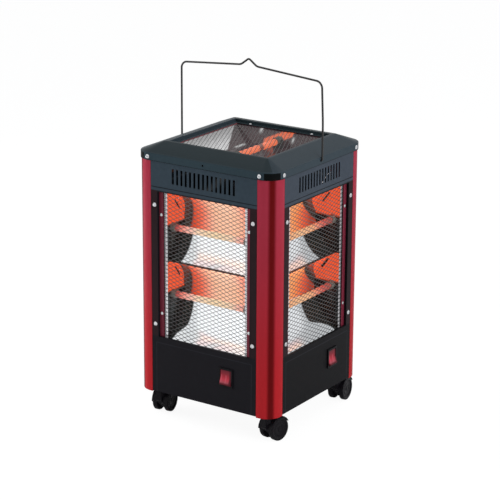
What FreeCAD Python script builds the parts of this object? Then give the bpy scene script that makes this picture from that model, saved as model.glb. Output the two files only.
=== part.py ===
# Electric coil heater: a square patio heater on castors, with two glowing tubes behind a mesh
# window in each side and one more under the meshed top.
#
# Millimetres. The origin is on the floor under the middle, +Z up. The front looks to -Y and the
# right side to +X. The four sides are alike, so a side's pieces are drawn once for the front and
# then turned about Z. On the front, u runs to the right along the face and d runs inward from it.
import FreeCAD, Part
import math
import os

V = FreeCAD.Vector

# Body
BODY_HALF = 130.0            # middle to the outer face of a side panel
CORNER_RADIUS = 26.0         # round of a corner column
COLUMN_FLAT = 4.0            # flat strip of a column beside its round
COLUMN_SHEET = 1.2
COLUMN_RETURN = 12.0         # how far a column's edge flange turns inward
COLUMN_DROP = 1.7            # column foot below the panels' feet
PANEL_SHEET = 1.0
PANEL_BOTTOM_Z = 49.0
PANEL_TOP_Z = 434.5
PANEL_FOOT = 8.0             # width of the flange folded in at a panel's foot
SEAM = 0.3                   # gap between sheets that lie side by side
CUT_PAST = 1.0               # how far a cutting shape runs past a face

# Window
WINDOW_MARGIN = 43.0         # window edge to the outer face of the next side
WINDOW_BOTTOM_Z = 143.0
WINDOW_TOP_Z = 383.0
WINDOW_RECESS = 4.4          # panel face to the face of the post wings
POST_SHEET = 1.2
POST_REVEAL = 7.7            # strip of post wing seen beside the mesh
POST_TOP_GAP = 4.5           # top of a post below the panels' top

# Crease and vents of a side panel
CREASE_RISE = 7.5            # above the window
CREASE_DEPTH = 0.5
CREASE_WIDTH = 1.6
VENT_COUNT = 15
VENT_PITCH = 8.17
VENT_WIDTH = 3.8
VENT_RISE = 16.0             # foot of a vent above the window
VENT_HEIGHT = 24.5

# Expanded metal
MESH_SHEET = 1.0
MESH_LAP = 11.0              # mesh behind a post wing or past a window edge
MESH_LONG_PITCH = 52.6
MESH_SHORT_PITCH = 23.8
MESH_STRAND = 2.6

# Reflector trough
TROUGH_MARGIN = 12.5         # window edge to the outer face of an end plate
TROUGH_DEPTH = 53.0          # deepest point behind the panel face
TROUGH_LIP_DEPTH = 9.0       # front edge of the trough behind the panel face
TROUGH_OVER = 1.0            # top edge above the window
TROUGH_UNDER = 1.5           # bottom edge below the window
TROUGH_CUSP_RISE = 124.5     # cusp above the foot of the window
TROUGH_CUSP_DEPTH = 14.0
REFLECTOR_SHEET = 0.8
REFLECTOR_LIP = 6.0          # upright strip above and below the trough
END_SHEET = 1.0
END_STEPS = 7                # straight steps along the back of a lobe of an end plate
END_FLANGE = 13.5            # width of the strip that an end plate turns outward behind the mesh
END_SLOT_WIDTH = 3.0
END_SLOT_RUN = 13.0          # how far a slot in an end plate runs inward
END_SLOT_DROP = 17.0         # how far it falls on the way
END_SLOT_DEPTH = 27.0        # depth of its front end
END_SLOT_OVER_TUBE = 43.0    # its front end above the tube

# Heating tubes
TUBE_DEPTH = 20.8            # tube axis behind the panel face
TUBE_UPPER_RISE = 180.0      # above the foot of the window
TUBE_LOWER_RISE = 70.0
TUBE_RADIUS = 5.2
TUBE_WALL = 1.0
COIL_RADIUS = 2.9
TUBE_SIDES = 12
COIL_SIDES = 8
CAP_SIDES = 8
CAP_RADIUS = 7.4             # across the corners of an eight-sided cap
CAP_INSIDE = 8.0             # cap between the end plate and the glowing stretch
CAP_OUTSIDE = 8.0            # cap past the end plate
CAP_FIT = 0.1

# Switch
SWITCH_U = 44.0
SWITCH_Z = 101.5
BEZEL_WIDTH = 26.0
BEZEL_HEIGHT = 32.0
BEZEL_PROUD = 2.0
SWITCH_BODY_WIDTH = 22.6
SWITCH_BODY_HEIGHT = 28.4
SWITCH_BODY_DEPTH = 20.0
SWITCH_CUTOUT_GAP = 0.2
SWITCH_BLADE = 6.0           # length of a contact blade
ROCKER_WIDTH = 20.0
ROCKER_RADIUS = 12.5         # pivot to the rocker's end faces
ROCKER_GAP = 0.4
ROCKER_PIVOT_OUT = -1.0      # pivot ahead of the panel face
ROCKER_VALLEY = 2.3          # pivot to the valley of the rocker's face
ROCKER_UNDER = 3.0           # pivot to the rocker's underside
ROCKER_TIP = 10.0            # degrees either way from the middle
TRUNNION_RADIUS = 1.5
TRUNNION_REACH = 0.8         # trunnion past the rocker's side
TRUNNION_FIT = 0.06
TRUNNION_SIDES = 8

# Top cover
COVER_SHEET = 1.2
COVER_PROUD = 1.5            # skirt ahead of the panel face
SKIRT_LAP = 2.9              # skirt over the top of the panels
SKIRT_HEIGHT = 12.0
BEVEL_RISE = 12.7
BEVEL_MARGIN = 31.0          # panel face to the edge of the flat top
COVER_TOP_ROUND = 4.0
COVER_CORNER_STEPS = 8       # straight steps that make a rounded corner
TOP_BAND = 8.0               # flat top beside the opening
OPENING_RECESS = 4.4
OPENING_LEDGE = 7.0
COLUMN_TOP_GAP = 0.5         # top of a column under the bevel

# Top reflector and its tube
PAN_SHEET = 0.8
PAN_DEPTH = 23.1
PAN_SLOPE_X = 49.0           # opening edge to the pan's floor, across the tube
PAN_SLOPE_Y = 21.0           # the same past the tube's ends
PAN_RIM = 7.0                # flat rim round the pan
TOP_TUBE_X = 12.0
TOP_TUBE_RISE = 13.5         # above the pan's floor
TOP_TUBE_MARGIN = 39.0       # opening edge to the end of the glowing stretch
TOP_CLIP_WIDTH = 18.0

# Base tray
TRAY_SHEET = 1.2
TRAY_WALL_HEIGHT = 12.0
TRAY_WALL_GAP = 2.5          # end of a wall to the column beside it

# Bail handle
BAIL_WIRE = 3.2
BAIL_STAND_OFF = 3.5         # panel face to the middle of a leg
BAIL_PIVOT_RISE = 6.4        # hooks above the foot of the skirt
BAIL_HOOK_REACH = 4.0        # hook end inside the panel face
BAIL_HOOK_BEND = 1.9
BAIL_LEG_RISE = 123.6        # hooks to the bar beside its corners
BAIL_CORNER_BEND = 9.0
BAIL_BOW_RISE = 9.4          # from there to the bar beside the grip hump
BAIL_HUMP_X = -4.0
BAIL_HUMP_HALF = 15.0
BAIL_HUMP_RISE = 11.7        # where the hump's two sides would meet, above the bar
BAIL_HUMP_BEND = 6.0
BAIL_FOOT_BEND = 4.0
BAIL_FIT = 0.08
BAIL_SIDES = 6

# Castors
CASTOR_INSET = 26.5          # panel face to the swivel axis
CASTOR_TRAIL = 16.0          # swivel axis to the axle
CASTOR_YAWS = {"front_right": -10.0, "back_right": 7.0, "back_left": 12.0, "front_left": 10.0}
WHEEL_RADIUS = 19.0
WHEEL_WIDTH = 8.5
WHEEL_SPACING = 20.0         # between the middles of the two wheels
WHEEL_RIM = 4.0              # width of the tread ring on a wheel's face
WHEEL_DISH = 1.6             # depth of the face inside the ring
WHEEL_SIDES = 24
WEB_GAP = 0.55               # wheel to the housing's web
WEB_RADIUS = 13.0
WEB_FLAT = 5.85              # half of a straight edge of the web
HOOD_GAP = 0.8
HOOD_SHEET = 1.6
HOOD_FRONT = 178.0           # degrees, from the trailing side over the top
HOOD_REAR = 28.0
HOOD_SIDES = 24              # straight steps in a full turn of the hood
BOSS_PROUD = 1.6             # boss above the hood
BOSS_LENGTH = 11.0
BOSS_RADIUS = 8.5
AXLE_RADIUS = 2.0
AXLE_FIT = 0.05
AXLE_SIDES = 8
STEM_RADIUS = 3.5
STEM_FIT = 0.05
STEM_TIP_RISE = 5.5          # tip above the axle
STEM_COLLAR_RADIUS = 6.0
STEM_THREAD_RADIUS = 3.9
STEM_PAST_TRAY = 7.8         # thread above the tray
STEM_HOLE_GAP = 0.3
STEM_SIDES = 8
NUT_HEIGHT = 5.0
NUT_RADIUS = 7.0
NUT_CLEARANCE = 1.0          # notch in a post round the nut and thread

# Cord entry and terminals
GLAND_U = -60.0              # on the back, seen from outside
GLAND_Z = 78.0
GLAND_BORE_RADIUS = 3.6
GLAND_NECK_RADIUS = 6.4
GLAND_HEAD_RADIUS = 9.0
GLAND_HEAD = 3.5
GLAND_LENGTH = 14.0
GLAND_NUT = 4.0
GLAND_FIT = 0.15
GLAND_SIDES = 8
TERMINAL_LENGTH = 44.0
TERMINAL_WIDTH = 17.0
TERMINAL_HEIGHT = 15.0
TERMINAL_WAYS = 4
TERMINAL_X = 20.0
TERMINAL_MARGIN = 35.0       # back panel face to the block's front

# Places that follow from the sizes above
COLUMN_BOTTOM_Z = PANEL_BOTTOM_Z - COLUMN_DROP
COLUMN_EDGE = BODY_HALF - CORNER_RADIUS - COLUMN_FLAT
PANEL_EDGE = COLUMN_EDGE - SEAM
WINDOW_HALF = BODY_HALF - WINDOW_MARGIN
POST_TOP_Z = PANEL_TOP_Z - POST_TOP_GAP
CREASE_Z = WINDOW_TOP_Z + CREASE_RISE
VENT_BOTTOM_Z = WINDOW_TOP_Z + VENT_RISE
WING_FACE = WINDOW_RECESS
WING_EDGE = WINDOW_HALF - POST_REVEAL
MESH_FRONT = WING_FACE + POST_SHEET + SEAM
MESH_BACK = MESH_FRONT + MESH_SHEET
END_FRONT = MESH_BACK + SEAM
TROUGH_HALF = WINDOW_HALF - TROUGH_MARGIN
TROUGH_TOP_Z = WINDOW_TOP_Z + TROUGH_OVER
TROUGH_CUSP_Z = WINDOW_BOTTOM_Z + TROUGH_CUSP_RISE
TROUGH_BOTTOM_Z = WINDOW_BOTTOM_Z - TROUGH_UNDER
TUBE_UPPER_Z = WINDOW_BOTTOM_Z + TUBE_UPPER_RISE
TUBE_LOWER_Z = WINDOW_BOTTOM_Z + TUBE_LOWER_RISE
TRAY_BOTTOM_Z = PANEL_BOTTOM_Z + PANEL_SHEET
TRAY_TOP_Z = TRAY_BOTTOM_Z + TRAY_SHEET
TRAY_HALF = BODY_HALF - PANEL_SHEET - SEAM
TRAY_WALL_TOP_Z = TRAY_BOTTOM_Z + TRAY_WALL_HEIGHT
TRAY_WALL_HALF = COLUMN_EDGE - TRAY_WALL_GAP
SKIRT_BOTTOM_Z = PANEL_TOP_Z - SKIRT_LAP
SKIRT_TOP_Z = SKIRT_BOTTOM_Z + SKIRT_HEIGHT
COVER_TOP_Z = SKIRT_TOP_Z + BEVEL_RISE
COVER_TOP_HALF = BODY_HALF - BEVEL_MARGIN
OPENING_HALF = COVER_TOP_HALF - TOP_BAND
BEVEL_SLOPE = (COVER_TOP_Z - SKIRT_TOP_Z) / (BODY_HALF + COVER_PROUD - COVER_TOP_HALF)
BEVEL_DROP = COVER_SHEET * math.sqrt(1.0 + BEVEL_SLOPE ** 2)
LEDGE_TOP_Z = COVER_TOP_Z - OPENING_RECESS
LEDGE_BOTTOM_Z = LEDGE_TOP_Z - COVER_SHEET
LEDGE_EDGE = OPENING_HALF - OPENING_LEDGE
TOP_MESH_TOP_Z = LEDGE_BOTTOM_Z - SEAM
TOP_MESH_BOTTOM_Z = TOP_MESH_TOP_Z - MESH_SHEET
TOP_MESH_HALF = OPENING_HALF - SEAM
PAN_TOP_Z = TOP_MESH_BOTTOM_Z - SEAM
PAN_FLOOR_Z = PAN_TOP_Z - PAN_DEPTH
PAN_FLOOR_HALF_X = OPENING_HALF - PAN_SLOPE_X
PAN_FLOOR_HALF_Y = OPENING_HALF - PAN_SLOPE_Y
TOP_TUBE_Z = PAN_FLOOR_Z + TOP_TUBE_RISE
TOP_TUBE_HALF = OPENING_HALF - TOP_TUBE_MARGIN
BAIL_LEG_X = BODY_HALF + BAIL_STAND_OFF
BAIL_HOOK_END_X = BODY_HALF - BAIL_HOOK_REACH
BAIL_PIVOT_Z = SKIRT_BOTTOM_Z + BAIL_PIVOT_RISE
BAIL_SHOULDER_Z = BAIL_PIVOT_Z + BAIL_LEG_RISE
BAIL_CROWN_Z = BAIL_SHOULDER_Z + BAIL_BOW_RISE
BAIL_HUMP_Z = BAIL_CROWN_Z + BAIL_HUMP_RISE
CASTOR_AT = BODY_HALF - CASTOR_INSET
CASTOR_TOP_Z = 2.0 * WHEEL_RADIUS + HOOD_GAP + HOOD_SHEET + BOSS_PROUD
STEM_TIP_Z = WHEEL_RADIUS + STEM_TIP_RISE
STEM_TOP_Z = TRAY_TOP_Z + STEM_PAST_TRAY
TERMINAL_Y = BODY_HALF - TERMINAL_MARGIN
WEB_HALF = (WHEEL_SPACING - WHEEL_WIDTH) / 2.0 - WEB_GAP


# Small helpers

def block(x0, x1, y0, y1, z0, z1):
    """A box between two corners."""
    return Part.makeBox(x1 - x0, y1 - y0, z1 - z0, V(x0, y0, z0))


def behind(u0, u1, d0, d1, z0, z1):
    """A box at the front, between two depths behind the panel face."""
    return block(u0, u1, d0 - BODY_HALF, d1 - BODY_HALF, z0, z1)


def rod(radius, start, direction, length):
    """A round bar from a point along a direction."""
    return Part.makeCylinder(radius, length, start, direction)


def outline(points):
    """A closed wire through corner points."""
    return Part.makePolygon(list(points) + [points[0]])


def bar(sides, radius, start, direction, length):
    """A bar with flat sides, whose corners lie at the radius."""
    ring = [V(radius * math.cos(2.0 * math.pi * i / sides), radius * math.sin(2.0 * math.pi * i / sides), 0)
            for i in range(sides)]
    shape = Part.Face(outline(ring)).extrude(V(0, 0, length))
    shape.Placement = FreeCAD.Placement(start, FreeCAD.Rotation(V(0, 0, 1), direction))
    return shape


def bar_hole(sides, radius, start, direction, length):
    """A hole with flat sides that lets a bar of the radius turn in it."""
    return bar(sides, radius / math.cos(math.pi / sides), start, direction, length)


def corners(half_x, half_y, z):
    """The corners of a rectangle round the middle, at a height."""
    return [V(-half_x, -half_y, z), V(half_x, -half_y, z), V(half_x, half_y, z), V(-half_x, half_y, z)]


def round_corners(half, radius, z):
    """Points of a square round the middle whose corners are rounded in short straight steps."""
    points = []
    for quarter, (sx, sy) in enumerate(((1, -1), (1, 1), (-1, 1), (-1, -1))):
        for step in range(COVER_CORNER_STEPS + 1):
            turn = math.radians(90.0 * (quarter - 1 + step / COVER_CORNER_STEPS))
            points.append(V(sx * (half - radius) + radius * math.cos(turn),
                            sy * (half - radius) + radius * math.sin(turn), z))
    return points


def tapered(low, high):
    """A solid with flat sides between two outlines that have the same number of corners."""
    faces = [Part.Face(outline(low)), Part.Face(outline(high))]
    for i in range(len(low)):
        j = (i + 1) % len(low)
        faces.append(Part.Face(outline([low[i], low[j], high[j], high[i]])))
    solid = Part.makeSolid(Part.makeShell(faces))
    if solid.Volume < 0:
        solid.reverse()
    return solid


def bent_strip(path, thickness, z0, z1):
    """Sheet bent along a path in plan; the path is the sheet's left face."""
    inner = []
    count = len(path)
    for i in range(count):
        before = path[max(i - 1, 0)]
        here = path[i]
        after = path[min(i + 1, count - 1)]
        normals = []
        for a, b in ((before, here), (here, after)):
            run = math.hypot(b[0] - a[0], b[1] - a[1])
            if run > 0:
                normals.append(((b[1] - a[1]) / run, -(b[0] - a[0]) / run))
        nx = sum(n[0] for n in normals)
        ny = sum(n[1] for n in normals)
        share = 2.0 / (nx * nx + ny * ny) if len(normals) == 2 else 1.0
        inner.append((here[0] + nx * thickness * share, here[1] + ny * thickness * share))
    corners = [V(x, y, z0) for x, y in list(path) + inner[::-1]]
    return Part.Face(outline(corners)).extrude(V(0, 0, z1 - z0))


def to_side(shape, side):
    """A front piece turned to one of the four sides."""
    copy = shape.copy()
    copy.rotate(V(0, 0, 0), V(0, 0, 1), 90.0 * side)
    return copy


def save(name, shapes):
    """One file for a node; a group of separate solids shares it."""
    shape = shapes[0] if len(shapes) == 1 else Part.makeCompound(shapes)
    if len(shapes) == 1 and shape.ShapeType == "Compound" and len(shape.Solids) == 1:
        shape = shape.Solids[0]
    shape.exportStep("parts/" + name + ".step")
    print(name, len(shape.Solids), round(shape.Volume, 1))


# Mesh

def diamond(place, a, b, half_a, half_b):
    """One opening of the expanded metal."""
    return outline([place(a + half_a, b), place(a, b + half_b), place(a - half_a, b), place(a, b - half_b)])


def mesh_openings(place, half_a, half_b):
    """Staggered diamonds that fit whole in a field round the middle."""
    slant = math.atan2(MESH_SHORT_PITCH, MESH_LONG_PITCH)
    open_a = MESH_LONG_PITCH / 2.0 - MESH_STRAND / 2.0 / math.sin(slant)
    open_b = MESH_SHORT_PITCH / 2.0 - MESH_STRAND / 2.0 / math.cos(slant)
    reach_a = int(2.0 * half_a / MESH_LONG_PITCH) + 2
    reach_b = int(2.0 * half_b / MESH_SHORT_PITCH) + 2
    wires = []
    for i in range(-reach_a, reach_a + 1):
        for j in range(-reach_b, reach_b + 1):
            a = i * MESH_LONG_PITCH / 2.0
            b = j * MESH_SHORT_PITCH / 2.0
            inside = abs(a) + open_a <= half_a and abs(b) + open_b <= half_b
            if (i + j) % 2 == 1 and inside:
                wires.append(diamond(place, a, b, open_a, open_b))
    return wires


def holed_sheet(edge, openings, push):
    """One face with all its openings, pushed to its thickness."""
    face = Part.Face([edge] + openings)
    face.validate()
    return face.extrude(push)


def side_grille():
    """Expanded metal that lies behind the window, between post wings and trough ends."""
    y = MESH_FRONT - BODY_HALF
    middle = (WINDOW_BOTTOM_Z + WINDOW_TOP_Z) / 2.0
    rise = (WINDOW_TOP_Z - WINDOW_BOTTOM_Z) / 2.0
    low = WINDOW_BOTTOM_Z - PANEL_SHEET - REFLECTOR_LIP
    high = WINDOW_TOP_Z + PANEL_SHEET + REFLECTOR_LIP
    side = WING_EDGE + MESH_LAP
    edge = outline([V(-side, y, low), V(side, y, low), V(side, y, high), V(-side, y, high)])
    openings = mesh_openings(lambda a, b: V(a, y, middle + b), WING_EDGE, rise)
    return holed_sheet(edge, openings, V(0, MESH_SHEET, 0))


def top_grille():
    """Expanded metal under the ledge of the cover's opening."""
    z = TOP_MESH_BOTTOM_Z
    h = TOP_MESH_HALF
    edge = outline([V(-h, -h, z), V(h, -h, z), V(h, h, z), V(-h, h, z)])
    openings = mesh_openings(lambda a, b: V(b, a, z), LEDGE_EDGE, LEDGE_EDGE)
    return holed_sheet(edge, openings, V(0, 0, MESH_SHEET))


# Sheet metal of the body

def side_panel(with_gland):
    """A pressed sheet with its window, crease, vents, switch cut-out and folded edges."""
    fold = WING_FACE
    panel = behind(-PANEL_EDGE, PANEL_EDGE, 0, PANEL_SHEET, PANEL_BOTTOM_Z, PANEL_TOP_Z)
    for edge in (-PANEL_EDGE, PANEL_EDGE - PANEL_SHEET):
        panel = panel.fuse(behind(edge, edge + PANEL_SHEET, 0, fold, PANEL_BOTTOM_Z, PANEL_TOP_Z))
    foot = behind(-PANEL_EDGE, PANEL_EDGE, 0, PANEL_SHEET + PANEL_FOOT,
                  PANEL_BOTTOM_Z, PANEL_BOTTOM_Z + PANEL_SHEET)
    panel = panel.fuse(foot)
    panel = panel.fuse(behind(-WINDOW_HALF - PANEL_SHEET, WINDOW_HALF + PANEL_SHEET, 0, fold,
                              WINDOW_BOTTOM_Z - PANEL_SHEET, WINDOW_TOP_Z + PANEL_SHEET))
    panel = panel.cut(behind(-WINDOW_HALF, WINDOW_HALF, -SEAM, fold + SEAM, WINDOW_BOTTOM_Z, WINDOW_TOP_Z))
    for i in range(VENT_COUNT):
        u = (i - (VENT_COUNT - 1) / 2.0) * VENT_PITCH
        panel = panel.cut(behind(u - VENT_WIDTH / 2.0, u + VENT_WIDTH / 2.0, -SEAM, PANEL_SHEET + SEAM,
                                 VENT_BOTTOM_Z, VENT_BOTTOM_Z + VENT_HEIGHT))
    panel = panel.cut(crease())
    half_width = SWITCH_BODY_WIDTH / 2.0 + SWITCH_CUTOUT_GAP
    half_height = SWITCH_BODY_HEIGHT / 2.0 + SWITCH_CUTOUT_GAP
    panel = panel.cut(behind(SWITCH_U - half_width, SWITCH_U + half_width, -SEAM, PANEL_SHEET + SEAM,
                             SWITCH_Z - half_height, SWITCH_Z + half_height))
    if with_gland:
        panel = panel.cut(rod(GLAND_NECK_RADIUS + GLAND_FIT, V(GLAND_U, -SEAM - BODY_HALF, GLAND_Z),
                              V(0, 1, 0), PANEL_SHEET + 2.0 * SEAM))
    return panel.removeSplitter()


def crease():
    """The shallow groove pressed across a panel above its window."""
    y = -BODY_HALF
    low = CREASE_Z - CREASE_WIDTH / 2.0
    high = CREASE_Z + CREASE_WIDTH / 2.0
    start = -PANEL_EDGE - SEAM
    profile = outline([V(start, y - SEAM, low), V(start, y, low), V(start, y + CREASE_DEPTH, CREASE_Z),
                       V(start, y, high), V(start, y - SEAM, high)])
    return Part.Face(profile).extrude(V(2.0 * (PANEL_EDGE + SEAM), 0, 0))


def corner_post():
    """Black folded post at the front right corner, whose wings carry panels, meshes and troughs."""
    face = -BODY_HALF + WING_FACE
    edge = PANEL_EDGE
    path = [(WING_EDGE, face), (edge, face), (edge, -edge), (-face, -edge), (-face, -WING_EDGE)]
    post = bent_strip(path[::-1], POST_SHEET, TRAY_TOP_Z, POST_TOP_Z)
    room = NUT_RADIUS + NUT_CLEARANCE
    return post.cut(block(CASTOR_AT - room, CASTOR_AT + room, -CASTOR_AT - room, -CASTOR_AT + room,
                          TRAY_BOTTOM_Z, STEM_TOP_Z + NUT_CLEARANCE))


def corner_column():
    """Red column at the front right corner: a round sheet with flats and folded edges."""
    out = BODY_HALF
    t = COLUMN_SHEET
    edge = COLUMN_EDGE
    deep = out - COLUMN_RETURN
    centre = out - CORNER_RADIUS
    slant = math.sqrt(0.5)
    outer = CORNER_RADIUS
    inner = CORNER_RADIUS - t
    z = COLUMN_BOTTOM_Z
    outer_mid = V(centre + outer * slant, -centre - outer * slant, z)
    inner_mid = V(centre + inner * slant, -centre - inner * slant, z)
    start = [V(edge, -deep, z), V(edge, -out, z), V(centre, -out, z)]
    middle = [V(out, -centre, z), V(out, -edge, z), V(deep, -edge, z), V(deep, -edge - t, z),
              V(out - t, -edge - t, z), V(out - t, -centre, z)]
    end = [V(centre, -out + t, z), V(edge + t, -out + t, z), V(edge + t, -deep, z), start[0]]
    edges = [Part.LineSegment(a, b).toShape() for a, b in zip(start, start[1:])]
    edges.append(Part.Arc(start[-1], outer_mid, middle[0]).toShape())
    edges += [Part.LineSegment(a, b).toShape() for a, b in zip(middle, middle[1:])]
    edges.append(Part.Arc(middle[-1], inner_mid, end[0]).toShape())
    edges += [Part.LineSegment(a, b).toShape() for a, b in zip(end, end[1:])]
    top = SKIRT_TOP_Z + BEVEL_SLOPE * COVER_PROUD - BEVEL_DROP - COLUMN_TOP_GAP
    return Part.Face(Part.Wire(edges)).extrude(V(0, 0, top - z))


def base_tray():
    """The floor sheet with four low walls; its corners pass inside the columns."""
    corner = BODY_HALF - COLUMN_RETURN - SEAM
    floor = block(-TRAY_HALF, TRAY_HALF, -TRAY_WALL_HALF, TRAY_WALL_HALF, TRAY_BOTTOM_Z, TRAY_TOP_Z)
    floor = floor.fuse(block(-TRAY_WALL_HALF, TRAY_WALL_HALF, -TRAY_HALF, TRAY_HALF,
                             TRAY_BOTTOM_Z, TRAY_TOP_Z))
    tray = floor.fuse(block(-corner, corner, -corner, corner, TRAY_BOTTOM_Z, TRAY_TOP_Z))
    depth = BODY_HALF - TRAY_HALF
    wall = behind(-TRAY_WALL_HALF, TRAY_WALL_HALF, depth, depth + TRAY_SHEET, TRAY_BOTTOM_Z, TRAY_WALL_TOP_Z)
    for side in range(4):
        tray = tray.fuse(to_side(wall, side))
    for x in (-CASTOR_AT, CASTOR_AT):
        for y in (-CASTOR_AT, CASTOR_AT):
            start = V(x, y, TRAY_BOTTOM_Z - SEAM)
            tray = tray.cut(bar_hole(STEM_SIDES, STEM_THREAD_RADIUS + STEM_HOLE_GAP, start, V(0, 0, 1),
                                     TRAY_SHEET + 2.0 * SEAM))
    return tray.removeSplitter()


# Top cover

def cover_body(inset, low_z):
    """The solid outside or inside of the lid: skirt, bevel and flat top."""
    skirt_half = BODY_HALF + COVER_PROUD - inset
    skirt_round = CORNER_RADIUS + COVER_PROUD - inset
    drop = BEVEL_DROP if inset else 0.0
    skirt_top = SKIRT_TOP_Z + BEVEL_SLOPE * inset - drop
    top_z = COVER_TOP_Z - inset
    top_half = COVER_TOP_HALF + (inset - drop) / BEVEL_SLOPE
    edge = round_corners(skirt_half, skirt_round, skirt_top)
    bevel = tapered(edge, round_corners(top_half, COVER_TOP_ROUND, top_z))
    return bevel.fuse(Part.Face(outline(edge)).extrude(V(0, 0, low_z - skirt_top)))


def top_cover():
    """Pressed lid with a skirt, a bevel and a recessed ledge round its square opening."""
    lid = cover_body(0.0, SKIRT_BOTTOM_Z).cut(cover_body(COVER_SHEET, SKIRT_BOTTOM_Z - SEAM))
    wide = OPENING_HALF + COVER_SHEET
    lid = lid.fuse(block(-wide, wide, -wide, wide, LEDGE_BOTTOM_Z, COVER_TOP_Z - COVER_SHEET / 2.0))
    wide = OPENING_HALF
    lid = lid.cut(block(-wide, wide, -wide, wide, LEDGE_TOP_Z, COVER_TOP_Z + SEAM))
    wide = LEDGE_EDGE
    lid = lid.cut(block(-wide, wide, -wide, wide, LEDGE_BOTTOM_Z - SEAM, COVER_TOP_Z))
    for side in range(4):
        start = V(0, -BODY_HALF - COVER_PROUD - SEAM, BAIL_PIVOT_Z)
        hook = bar_hole(BAIL_SIDES, BAIL_WIRE / 2.0 + BAIL_FIT, start, V(0, 1, 0), COVER_SHEET + 2.0 * SEAM)
        lid = lid.cut(to_side(hook, side))
    return lid.removeSplitter()


# Reflectors and tubes

def trough_edges(x, shift):
    """The two lobes as arcs, from the top lip down to the bottom lip, moved back by a shift."""
    lip = TROUGH_LIP_DEPTH + shift - BODY_HALF
    cusp = V(x, TROUGH_CUSP_DEPTH + shift - BODY_HALF, TROUGH_CUSP_Z)
    deep = TROUGH_DEPTH + shift - BODY_HALF
    upper = V(x, deep, (TROUGH_TOP_Z + TROUGH_CUSP_Z) / 2.0)
    lower = V(x, deep, (TROUGH_BOTTOM_Z + TROUGH_CUSP_Z) / 2.0)
    top_lobe = Part.Arc(V(x, lip, TROUGH_TOP_Z), upper, cusp)
    low_lobe = Part.Arc(cusp, lower, V(x, lip, TROUGH_BOTTOM_Z))
    return [top_lobe.toShape(), low_lobe.toShape()]


def trough_point(x, shift, height, lip):
    """A point of the trough's front edge, or past it by the lip."""
    return V(x, TROUGH_LIP_DEPTH + shift - BODY_HALF, height + lip)


def reflector():
    """The polished double trough, with an upright lip above and below."""
    x = -TROUGH_HALF + END_SHEET + SEAM
    back = REFLECTOR_SHEET
    top_lip = [trough_point(x, 0, TROUGH_TOP_Z, 0), trough_point(x, 0, TROUGH_TOP_Z, REFLECTOR_LIP),
               trough_point(x, back, TROUGH_TOP_Z, REFLECTOR_LIP), trough_point(x, back, TROUGH_TOP_Z, 0)]
    low_lip = [trough_point(x, back, TROUGH_BOTTOM_Z, 0), trough_point(x, back, TROUGH_BOTTOM_Z, -REFLECTOR_LIP),
               trough_point(x, 0, TROUGH_BOTTOM_Z, -REFLECTOR_LIP), trough_point(x, 0, TROUGH_BOTTOM_Z, 0)]
    edges = [Part.LineSegment(a, b).toShape() for a, b in zip(top_lip, top_lip[1:])]
    edges += trough_edges(x, back)
    edges += [Part.LineSegment(a, b).toShape() for a, b in zip(low_lip, low_lip[1:])]
    edges += trough_edges(x, 0)
    wire = Part.Wire(Part.__sortEdges__(edges))
    return Part.Face(wire).extrude(V(-2.0 * x, 0, 0))


def end_plate():
    """The left end of a trough: two lobes, a slot and a cap hole in each, and a flange outward."""
    x = -TROUGH_HALF
    front = END_FRONT - BODY_HALF
    points = [V(x, front, TROUGH_BOTTOM_Z), V(x, front, TROUGH_TOP_Z)]
    for lobe in trough_edges(x, REFLECTOR_SHEET):
        steps = lobe.discretize(END_STEPS + 1)
        points += steps if not points[2:] else steps[1:]
    plate = Part.Face(outline(points)).extrude(V(END_SHEET, 0, 0))
    plate = plate.fuse(behind(x - END_FLANGE, x + END_SHEET, END_FRONT, END_FRONT + END_SHEET,
                              TROUGH_BOTTOM_Z, TROUGH_TOP_Z))
    for z in (TUBE_LOWER_Z, TUBE_UPPER_Z):
        plate = plate.cut(bar(CAP_SIDES, CAP_RADIUS + CAP_FIT, V(x - END_SHEET, TUBE_DEPTH - BODY_HALF, z),
                              V(1, 0, 0), 3.0 * END_SHEET))
        plate = plate.cut(end_slot(x - END_SHEET, z + END_SLOT_OVER_TUBE))
    return plate.removeSplitter()


def end_slot(x, z):
    """The slanted slot that lets an end plate breathe."""
    y = END_SLOT_DEPTH - BODY_HALF
    run = math.hypot(END_SLOT_RUN, END_SLOT_DROP)
    side = (END_SLOT_DROP / run * END_SLOT_WIDTH / 2.0, END_SLOT_RUN / run * END_SLOT_WIDTH / 2.0)
    corners = [V(x, y - side[0], z - side[1]), V(x, y + side[0], z + side[1]),
               V(x, y + END_SLOT_RUN + side[0], z - END_SLOT_DROP + side[1]),
               V(x, y + END_SLOT_RUN - side[0], z - END_SLOT_DROP - side[1])]
    return Part.Face(outline(corners)).extrude(V(3.0 * END_SHEET, 0, 0))


def quartz_tube(centre, direction, half):
    """An open glass tube round a middle point."""
    start = centre - direction * half
    tube = bar(TUBE_SIDES, TUBE_RADIUS, start, direction, 2.0 * half)
    return tube.cut(bar(TUBE_SIDES, TUBE_RADIUS - TUBE_WALL, start, direction, 2.0 * half))


def coil(centre, direction, half):
    """The wound heating coil as the rod that it fills."""
    return bar(COIL_SIDES, COIL_RADIUS, centre - direction * half, direction, 2.0 * half)


def tube_cap(centre, direction, plate_at):
    """A ceramic cap that sits in an end plate and closes the tube's end.

    The direction points outward, and plate_at is the plate's outer face from the middle.
    """
    inner = plate_at - END_SHEET - CAP_INSIDE
    return bar(CAP_SIDES, CAP_RADIUS, centre + direction * inner, direction, END_SHEET + CAP_INSIDE + CAP_OUTSIDE)


def side_tube_centres():
    """The middles of a side's two tubes."""
    return [V(0, TUBE_DEPTH - BODY_HALF, z) for z in (TUBE_LOWER_Z, TUBE_UPPER_Z)]


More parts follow.
